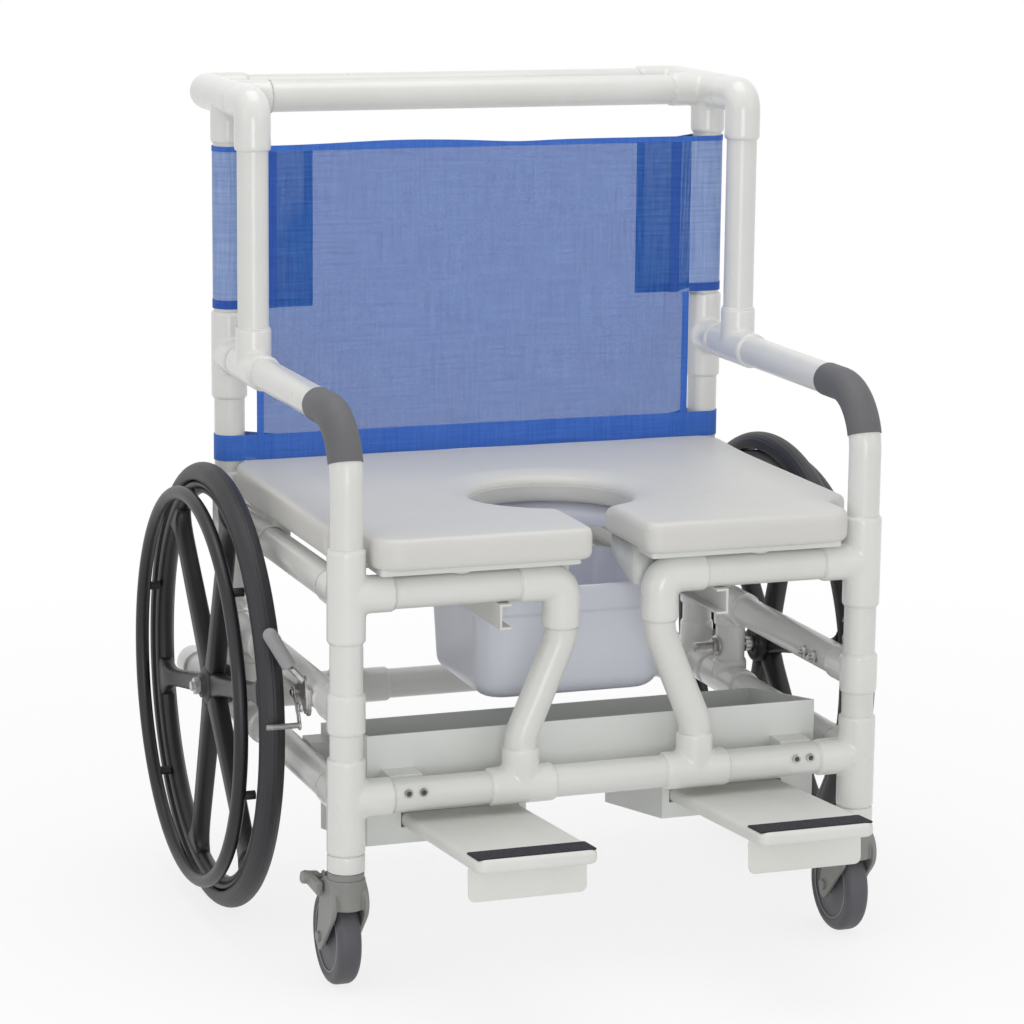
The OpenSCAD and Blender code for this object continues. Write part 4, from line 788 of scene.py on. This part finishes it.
for i in range(RIBS):
    s = RIB_PITCH * i
    ribbed += [(0.0038, s), (0.0038, s + 0.0012), (0.0033, s + 0.0015), (0.0033, s + 0.0018)]
ribbed.append((0.0005, RIB_PITCH * RIBS))
dome = [(0.0004, 0.0)]
for k in range(6):
    a = math.radians(15 * k)
    dome.append((0.0058 * math.cos(a), 0.0005 + 0.0030 * math.sin(a)))
dome.append((0.0004, 0.0035))
rivets = []
for name, side in SIDES:
    plate = made(f"{name}_shoe_plate", *on_side(side, *blank), steel, f"{name}_lock_arm", "steel")
    melted(plate, 0.0007, 4, 0.5)
    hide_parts(f"{name}_lock_shoe")
    made(f"{name}_shoe_rod", *turned(ribbed, SHOE_ROD, side, 28), steel, f"{name}_lock_arm", "steel", False)
    rivets += [turned(dome, pin + half_plate, side, 24) for pin in (LINK_PIN, LEVER_PIN)]
made("lock_rivets", *joined(rivets), steel, "frame", "steel")


# Seat cushion
# A padded seat of firm foam under a seamless pale vinyl skin, dipped so that the edges are round
# and the top crowns slightly. It is flat below, where it lies on its board.
vinyl = moulded("seat_vinyl", srgb(217, 216, 212), srgb(206, 205, 200), 0.45, 0.45, 0.6, 0.08)
cushion = softened("cushion_pad", "seat_cushion", 0.0036, 3, vinyl, "seat")
OPENING = Vector((0, 0.222 + LEGS_Y))
OPENING_R, DISH_R, DISH = 0.112, 0.146, 0.0080
REAR_EDGE, REAR_SPAN = 0.505, 0.14  # the rear part that swells back and up against the sling


def held(value):
    """A share, kept between none and all."""
    return min(1.0, max(0.0, value))


for v in cushion.data.vertices:
    rear = held(1 + (v.co.y - REAR_EDGE - LEGS_Y) / REAR_SPAN)
    v.co.y += 0.012 * rear ** 3
    v.co.z += 0.0062 * rear ** 2 * held((v.co.z - 0.560) / 0.025)
    if v.co.z > 0.580:
        near = max(0.0, 1 - (Vector(v.co.xy) - OPENING).length / DISH_R) / (1 - OPENING_R / DISH_R)
        v.co.z -= DISH * min(1.0, near) ** 1.6
        v.co.z += 0.0004 * noise.noise(v.co * 14)


# Splash ring
# A thin wall of the pail's own plastic that hangs below the seat opening and guides what falls
# into the pail. Skirts of white sheet go on from its ends along the slot and reach lower in front.
RING_R = 0.121
RING_GAP = 22.0  # degrees on each side of the slot
wall = [
    (-0.0024, 0.5515), (-0.0024, 0.5225), (-0.0017, 0.5216),
    (0.0017, 0.5216), (0.0024, 0.5225), (0.0024, 0.5425),
]
rings = []
for i in range(73):
    a = math.radians(-90 + RING_GAP + (360 - 2 * RING_GAP) * i / 72)
    ring = []
    for out, z in wall:
        r = RING_R + out
        ring.append(Vector((OPENING.x + r * math.cos(a), OPENING.y + r * math.sin(a), z)))
    rings.append(ring)
made("splash_ring", *skinned(rings), pail_grey, "seat", "pail")
rings = []
for x, y, bend in (
    (0.0900, 0.0313, 90), (0.0560, 0.0313, 90), (0.0508, 0.0323, 65), (0.0472, 0.0350, 30),
    (0.0462, 0.0400, 0), (0.0462, 0.0630, 0), (0.0462, 0.0860, 0), (0.0462, 0.1090, 0),
):
    across = Vector((math.cos(math.radians(bend)), math.sin(math.radians(bend)), 0))
    drop = 0.3 * (0.110 - y)
    ring = []
    for out, z in wall:
        low = z - drop if z < 0.530 else z
        ring.append(Vector((x, y + LEGS_Y, low)) + across * out)
    rings.append(ring)
made("slot_skirts", *both_sides(skinned(rings)), sheet_white, "seat", "tray_sheet")


# Seat board edges
# The plastic board under the cushion comes forward over the front rail and out over the side
# rails, so that its edge closes the gap below the cushion.
strips = []
for x0, x1, y0, y1 in ((0.048, 0.316, -0.022, 0.036), (0.308, 0.346, 0.036, 0.488)):
    rows = plank(x0, x1, y0 + LEGS_Y, y1 + LEGS_Y, 0.5431, 0.5524, 0.0015, 0.006, "z")
    strips.append(skinned([[Vector(p) for p in ring] for ring in rows]))
made("seat_board_edges", *both_sides(*strips), sheet_white, "seat", "tray_sheet")


# Back sling
# Blue open-weave polyester mesh, cut in one piece with side flaps that pass round the uprights
# and come back to the sheet, where they are sewn. The hems are folded and stitched double.
CLOTH_FRONT = REAR_Y - PIPE_R - 0.0002 - 0.0009 + LEGS_Y
UPRIGHT = Vector((LEG_X, REAR_Y + LEGS_Y))
CLOTH_R = 0.0222
SHEET_X, FLAP_X, BACK_X = 0.322, 0.240, 0.300  # edge of the sheet, sewn edge of a flap, where it comes back
SLING_LOW, BAND_TOP, FLAP_LOW, HEM_LOW, SLING_TOP = 0.594, 0.630, 0.806, 1.021, 1.029
PROUD = 0.0008  # how far a hem stands in front of the sheet

weave, weave_in, weave_out = node_group(
    "Open weave",
    [
        ("Along Cut", "NodeSocketVector", (0, 0, 0)),
        ("Pitch", "NodeSocketFloat", 0.0009),
        ("Thread", "NodeSocketFloat", 0.6),
    ],
    [("Cover", "NodeSocketFloat"), ("Height", "NodeSocketFloat"), ("Slub", "NodeSocketFloat")],
)
apart = weave.nodes.new("ShaderNodeSeparateXYZ")
weave.links.new(weave_in.outputs["Along Cut"], apart.inputs[0])
uneven = cloud(weave, weave_in.outputs["Along Cut"], 90.0, 2)
threads, streaks = [], []
for axis, stretch in (("X", (300.0, 12.0, 1.0)), ("Y", (12.0, 300.0, 1.0))):
    turns = calc(weave, "DIVIDE", apart.outputs[axis], weave_in.outputs["Pitch"])
    turns = calc(weave, "ADD", turns, calc(weave, "MULTIPLY", uneven, 0.12))
    off = calc(weave, "ABSOLUTE", calc(weave, "SUBTRACT", calc(weave, "FRACT", turns), 0.5))
    gap = calc(weave, "DIVIDE", calc(weave, "MULTIPLY", off, 2.0), weave_in.outputs["Thread"])
    threads.append(ramp(weave, gap, 1.3, 0.7))
    streaks.append(cloud(weave, stretched(weave, weave_in.outputs["Along Cut"], stretch), 1.0, 2))
put(weave, weave_out.inputs["Cover"], calc(weave, "MAXIMUM", *threads))
put(weave, weave_out.inputs["Height"], calc(weave, "ADD", *threads))
put(weave, weave_out.inputs["Slub"], calc(weave, "MULTIPLY", calc(weave, "ADD", *streaks), 0.5))


def mesh_cloth(name, thread, faded, coverage):
    """Open mesh of a thread's colour, faded in streaks, whose threads cover a share of the pitch."""
    mat, tree, skin = new_finish(name)
    skin.inputs["Roughness"].default_value = 0.75
    skin.inputs["Sheen Weight"].default_value = 0.08
    yarn = tree.nodes.new("ShaderNodeGroup")
    yarn.node_tree = weave
    yarn.inputs["Thread"].default_value = coverage
    tree.links.new(tree.nodes.new("ShaderNodeTexCoord").outputs["UV"], yarn.inputs["Along Cut"])
    fading = ramp(tree, yarn.outputs["Slub"], 0.36, 0.64)
    put(tree, skin.inputs["Base Color"], blend_colours(tree, fading, thread, faded))
    put(tree, skin.inputs["Alpha"], yarn.outputs["Cover"])
    emboss(tree, skin, yarn.outputs["Height"], 0.12, 0.0005)
    return mat


field_blue = mesh_cloth("mesh_blue", srgb(4, 78, 168), srgb(56, 112, 190), 0.63)
flap_blue = mesh_cloth("flap_blue", srgb(4, 78, 168), srgb(56, 112, 190), 0.52)
hem_blue = mesh_cloth("hem_blue", srgb(44, 102, 200), srgb(66, 118, 210), 0.86)
fold_blue = mesh_cloth("fold_blue", srgb(26, 76, 168), srgb(44, 92, 182), 0.95)
# Where a flap lies on an upright, its cloth is painted paler: painted light from the white pipe seen through
# the mesh.
over_pipe_painted_light = mesh_cloth("over_pipe_painted_light", srgb(122, 152, 212), srgb(166, 188, 232), 0.62)


def cloth(name, rows, material):
    """A sheet from rows of (point, distance along the cut), with the cut's own sizes as its UV map."""
    verts = [p for row in rows for p, _ in row]
    piece = made(name, verts, net(len(rows), len(rows[0])), material, "frame", "sling_mesh")
    cut = piece.data.uv_layers.new(name="cut")
    along = [u for row in rows for _, u in row]
    for loop in piece.data.loops:
        cut.data[loop.index].uv = (along[loop.vertex_index], verts[loop.vertex_index].z)
    return piece


def sag(x, z):
    """How far the free sheet hangs back and sways from its flat place."""
    free = max(0.0, 1 - (x / 0.325) ** 2)
    ripple = noise.noise(Vector((x * 7, z * 9, 3.0))) + 0.5 * noise.noise(Vector((x * 17, z * 21, 8.0)))
    return free * 0.004 + ripple * 0.0012 * min(1.0, free * 3)


def top_edge(x):
    """The height of the upper hem, which has stretched a little higher on the left."""
    raised = 0.0040 * math.exp(-(((x + 0.11) / 0.11) ** 2))
    dipped = 0.0020 * math.exp(-(((x - 0.06) / 0.05) ** 2))
    return SLING_TOP + raised - dipped


def panel_rows(x0, x1, z0, z1, across, up, forward=0.0):
    """Rows of the front sheet between two heights, with its slack."""
    rows = []
    for i in range(up + 1):
        row = []
        for k in range(across + 1):
            x = x0 + (x1 - x0) * k / across
            high = top_edge(x) - (SLING_TOP - z1) if z1 > 1.0 else z1
            z = z0 + (high - z0) * i / up
            row.append((Vector((x, CLOTH_FRONT + sag(x, z) - forward, z)), x))
        rows.append(row)
    return rows


panel = cloth("sling_panel", panel_rows(-SHEET_X, SHEET_X, SLING_LOW, SLING_TOP, 110, 74), field_blue)
PIPE_STEPS = 24  # steps of a flap's path that lie on the upright


def wrap(side, inner_x, z0, z1, up, lift=0.0):
    """A flap from the front sheet round an upright and back behind the sheet to its sewn edge."""
    radius = CLOTH_R + lift
    path = [(SHEET_X, CLOTH_FRONT - lift), (0.338, CLOTH_FRONT - lift)]
    for i in range(PIPE_STEPS + 1):
        a = math.radians(-90 + 222 * i / PIPE_STEPS)
        path.append((UPRIGHT.x + radius * math.cos(a), UPRIGHT.y + radius * math.sin(a)))
    behind = CLOTH_FRONT + 0.0026 + lift
    x, y = path[-1]
    for i in range(1, 15):
        t = i / 14
        path.append((x + (BACK_X - x) * t, y + (behind - y) * t))
    for i in range(1, 9):
        path.append((BACK_X + (inner_x - BACK_X) * i / 8, behind))
    lengths, run = [], SHEET_X
    for i, p in enumerate(path):
        run += math.dist(p, path[i - 1]) if i else 0.0
        lengths.append(run)
    rows = []
    for i in range(up + 1):
        z = z0 + (z1 - z0) * i / up
        row = []
        for (x, y), u in zip(path, lengths):
            slack = sag(x, z) if abs(x) < 0.32 else 0.0
            row.append((Vector((side * x, y + slack, z)), side * u))
        rows.append(row)
    return rows


def sleeve_hem(name, side, low, height, steps, material):
    """A strip of folded cloth on the outside of a flap, all the way round the upright."""
    rows = []
    for i in range(steps + 1):
        z = low + height * i / steps
        rows.append(wrap(side, FLAP_X, z, z, 1, 0.0006)[0])
    return cloth(name, rows, material)


for name, side in SIDES:
    rows = wrap(side, FLAP_X, FLAP_LOW, 1.0288, 40)
    flap = cloth(f"{name}_sling_flap", rows, flap_blue)
    # Faces on the upright take the paler cloth, with painted light from the pipe behind it.
    flap.data.materials.append(over_pipe_painted_light)
    for i, face in enumerate(flap.data.polygons):
        face.material_index = 1 if i % (len(rows[0]) - 1) < PIPE_STEPS else 0
    cloth(f"{name}_sling_loop", wrap(side, 0.296, SLING_LOW, BAND_TOP, 8), hem_blue)
hems = [
    cloth("sling_top_hem", panel_rows(-SHEET_X, SHEET_X, HEM_LOW, SLING_TOP, 110, 2, PROUD), hem_blue),
    cloth("sling_bottom_band", panel_rows(-SHEET_X, SHEET_X, SLING_LOW, BAND_TOP, 110, 8, PROUD), hem_blue),
]
for name, side in SIDES:
    rows = panel_rows(side * 0.312, side * SHEET_X, BAND_TOP, FLAP_LOW, 3, 30, PROUD)
    hems.append(cloth(f"{name}_edge_hem", rows, hem_blue))
    rows = []
    for i in range(31):
        z = FLAP_LOW + 0.2226 * i / 30
        row = []
        for x in (FLAP_X, 0.246, 0.252):
            row.append((Vector((side * x, CLOTH_FRONT + 0.0034 + sag(x, z), z)), side * x))
        rows.append(row)
    hems.append(cloth(f"{name}_flap_hem", rows, fold_blue))
    hems.append(sleeve_hem(f"{name}_sleeve_hem", side, FLAP_LOW, 0.012, 3, fold_blue))
    hems.append(sleeve_hem(f"{name}_sleeve_top_hem", side, 1.0218, 0.007, 2, hem_blue))
    rows = panel_rows(side * 0.292, side * 0.306, FLAP_LOW, HEM_LOW, 3, 30, PROUD)
    hems.append(cloth(f"{name}_sleeve_seam", rows, fold_blue))
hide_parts("back_sling")


# Studio
# A pale floor and a white surround, lit by a soft box beside the camera, three weaker ones round
# the chair and a dim even sky, so that colours come out about as they are written.
def seen_directly(tree):
    """1 for what the camera sees straight on, in a reflection or through glass."""
    ray = tree.nodes.new("ShaderNodeLightPath").outputs
    by_way = calc(tree, "MAXIMUM", ray["Is Glossy Ray"], ray["Is Transmission Ray"])
    return calc(tree, "MAXIMUM", ray["Is Camera Ray"], by_way)


floor = bpy.data.meshes.new("floor")
floor.from_pydata([(-12, -12, 0), (12, -12, 0), (12, 12, 0), (-12, 12, 0)], [], [(0, 1, 2, 3)])
paper = bpy.data.materials.new("studio_paper")
paper.use_nodes = True
tree = paper.node_tree
tree.nodes.clear()
out = tree.nodes.new("ShaderNodeOutputMaterial")
lit = tree.nodes.new("ShaderNodeBsdfDiffuse")
lit.inputs["Color"].default_value = (0.8, 0.8, 0.8, 1)
seen_lit = tree.nodes.new("ShaderNodeBsdfDiffuse")
seen_lit.inputs["Color"].default_value = (0.98, 0.98, 0.98, 1)
seen_white = tree.nodes.new("ShaderNodeEmission")
seen_white.inputs["Color"].default_value = (1, 1, 1, 1)
away = tree.nodes.new("ShaderNodeVectorMath")
away.operation = "LENGTH"
tree.links.new(tree.nodes.new("ShaderNodeTexCoord").outputs["Object"], away.inputs[0])
paling = calc(tree, "MULTIPLY", ramp(tree, away.outputs["Value"], 0.5, 2.2), 0.2)
seen = tree.nodes.new("ShaderNodeMixShader")
put(tree, seen.inputs[0], calc(tree, "ADD", 0.8, paling))
tree.links.new(seen_lit.outputs[0], seen.inputs[1])
tree.links.new(seen_white.outputs[0], seen.inputs[2])
choice = tree.nodes.new("ShaderNodeMixShader")
tree.links.new(seen_directly(tree), choice.inputs[0])
tree.links.new(lit.outputs[0], choice.inputs[1])
tree.links.new(seen.outputs[0], choice.inputs[2])
tree.links.new(choice.outputs[0], out.inputs[0])
floor.materials.append(paper)
ground = bpy.data.objects.new("floor", floor)
bpy.context.scene.collection.objects.link(ground)

world = bpy.data.worlds.new("studio")
bpy.context.scene.world = world
world.use_nodes = True
tree = world.node_tree
sky = tree.nodes["Background"]
sky.inputs["Color"].default_value = (1, 1, 1, 1)
brighter = calc(tree, "MULTIPLY", seen_directly(tree), 0.38)
tree.links.new(calc(tree, "ADD", 0.62, brighter), sky.inputs["Strength"])

LAMP_AIM = Vector((0, 0, 0.5))
for name, place, size, watts in (
    ("front_box", (-1.2, -4.3, 0.75), 1.5, 31),
    ("right_box", (2.6, -3.2, 1.7), 1.8, 9),
    ("left_box", (-3.2, -1.2, 1.7), 1.8, 8),
    ("top_box", (0.0, 0.2, 3.4), 2.0, 27),
):
    lamp = bpy.data.lights.new(name, "AREA")
    lamp.size = size
    lamp.energy = watts
    box = bpy.data.objects.new(name, lamp)
    box.location = place
    box.rotation_mode = "QUATERNION"
    box.rotation_quaternion = (LAMP_AIM - Vector(place)).to_track_quat("-Z", "Y")
    bpy.context.scene.collection.objects.link(box)

turn, tilt, roll = math.radians(-19.98), math.radians(11.49), math.radians(0.61)
ahead = Vector((-math.sin(turn) * math.cos(tilt), math.cos(turn) * math.cos(tilt), -math.sin(tilt)))
level = Vector((math.cos(turn), math.sin(turn), 0))
upright = level.cross(ahead)
right = math.cos(roll) * level + math.sin(roll) * upright
above = -math.sin(roll) * level + math.cos(roll) * upright
SENSOR, FRAME_PIXELS, FOCAL_PIXELS = 36, 1024, 3447.75
CAMERA_AIM, DISTANCE = Vector((0, 0.041, 0.504)), 4.70199
lens = bpy.data.cameras.new("camera")
lens.sensor_width = SENSOR
lens.lens = FOCAL_PIXELS / FRAME_PIXELS * SENSOR
lens.clip_end = 100
camera = bpy.data.objects.new("camera", lens)
pose = Matrix((right, above, -ahead)).transposed().to_4x4()
pose.translation = CAMERA_AIM - ahead * DISTANCE - right * 0.02488 + above * 0.04046
camera.matrix_world = pose
bpy.context.scene.collection.objects.link(camera)
bpy.context.scene.camera = camera
bpy.context.scene.view_settings.view_transform = "Standard"
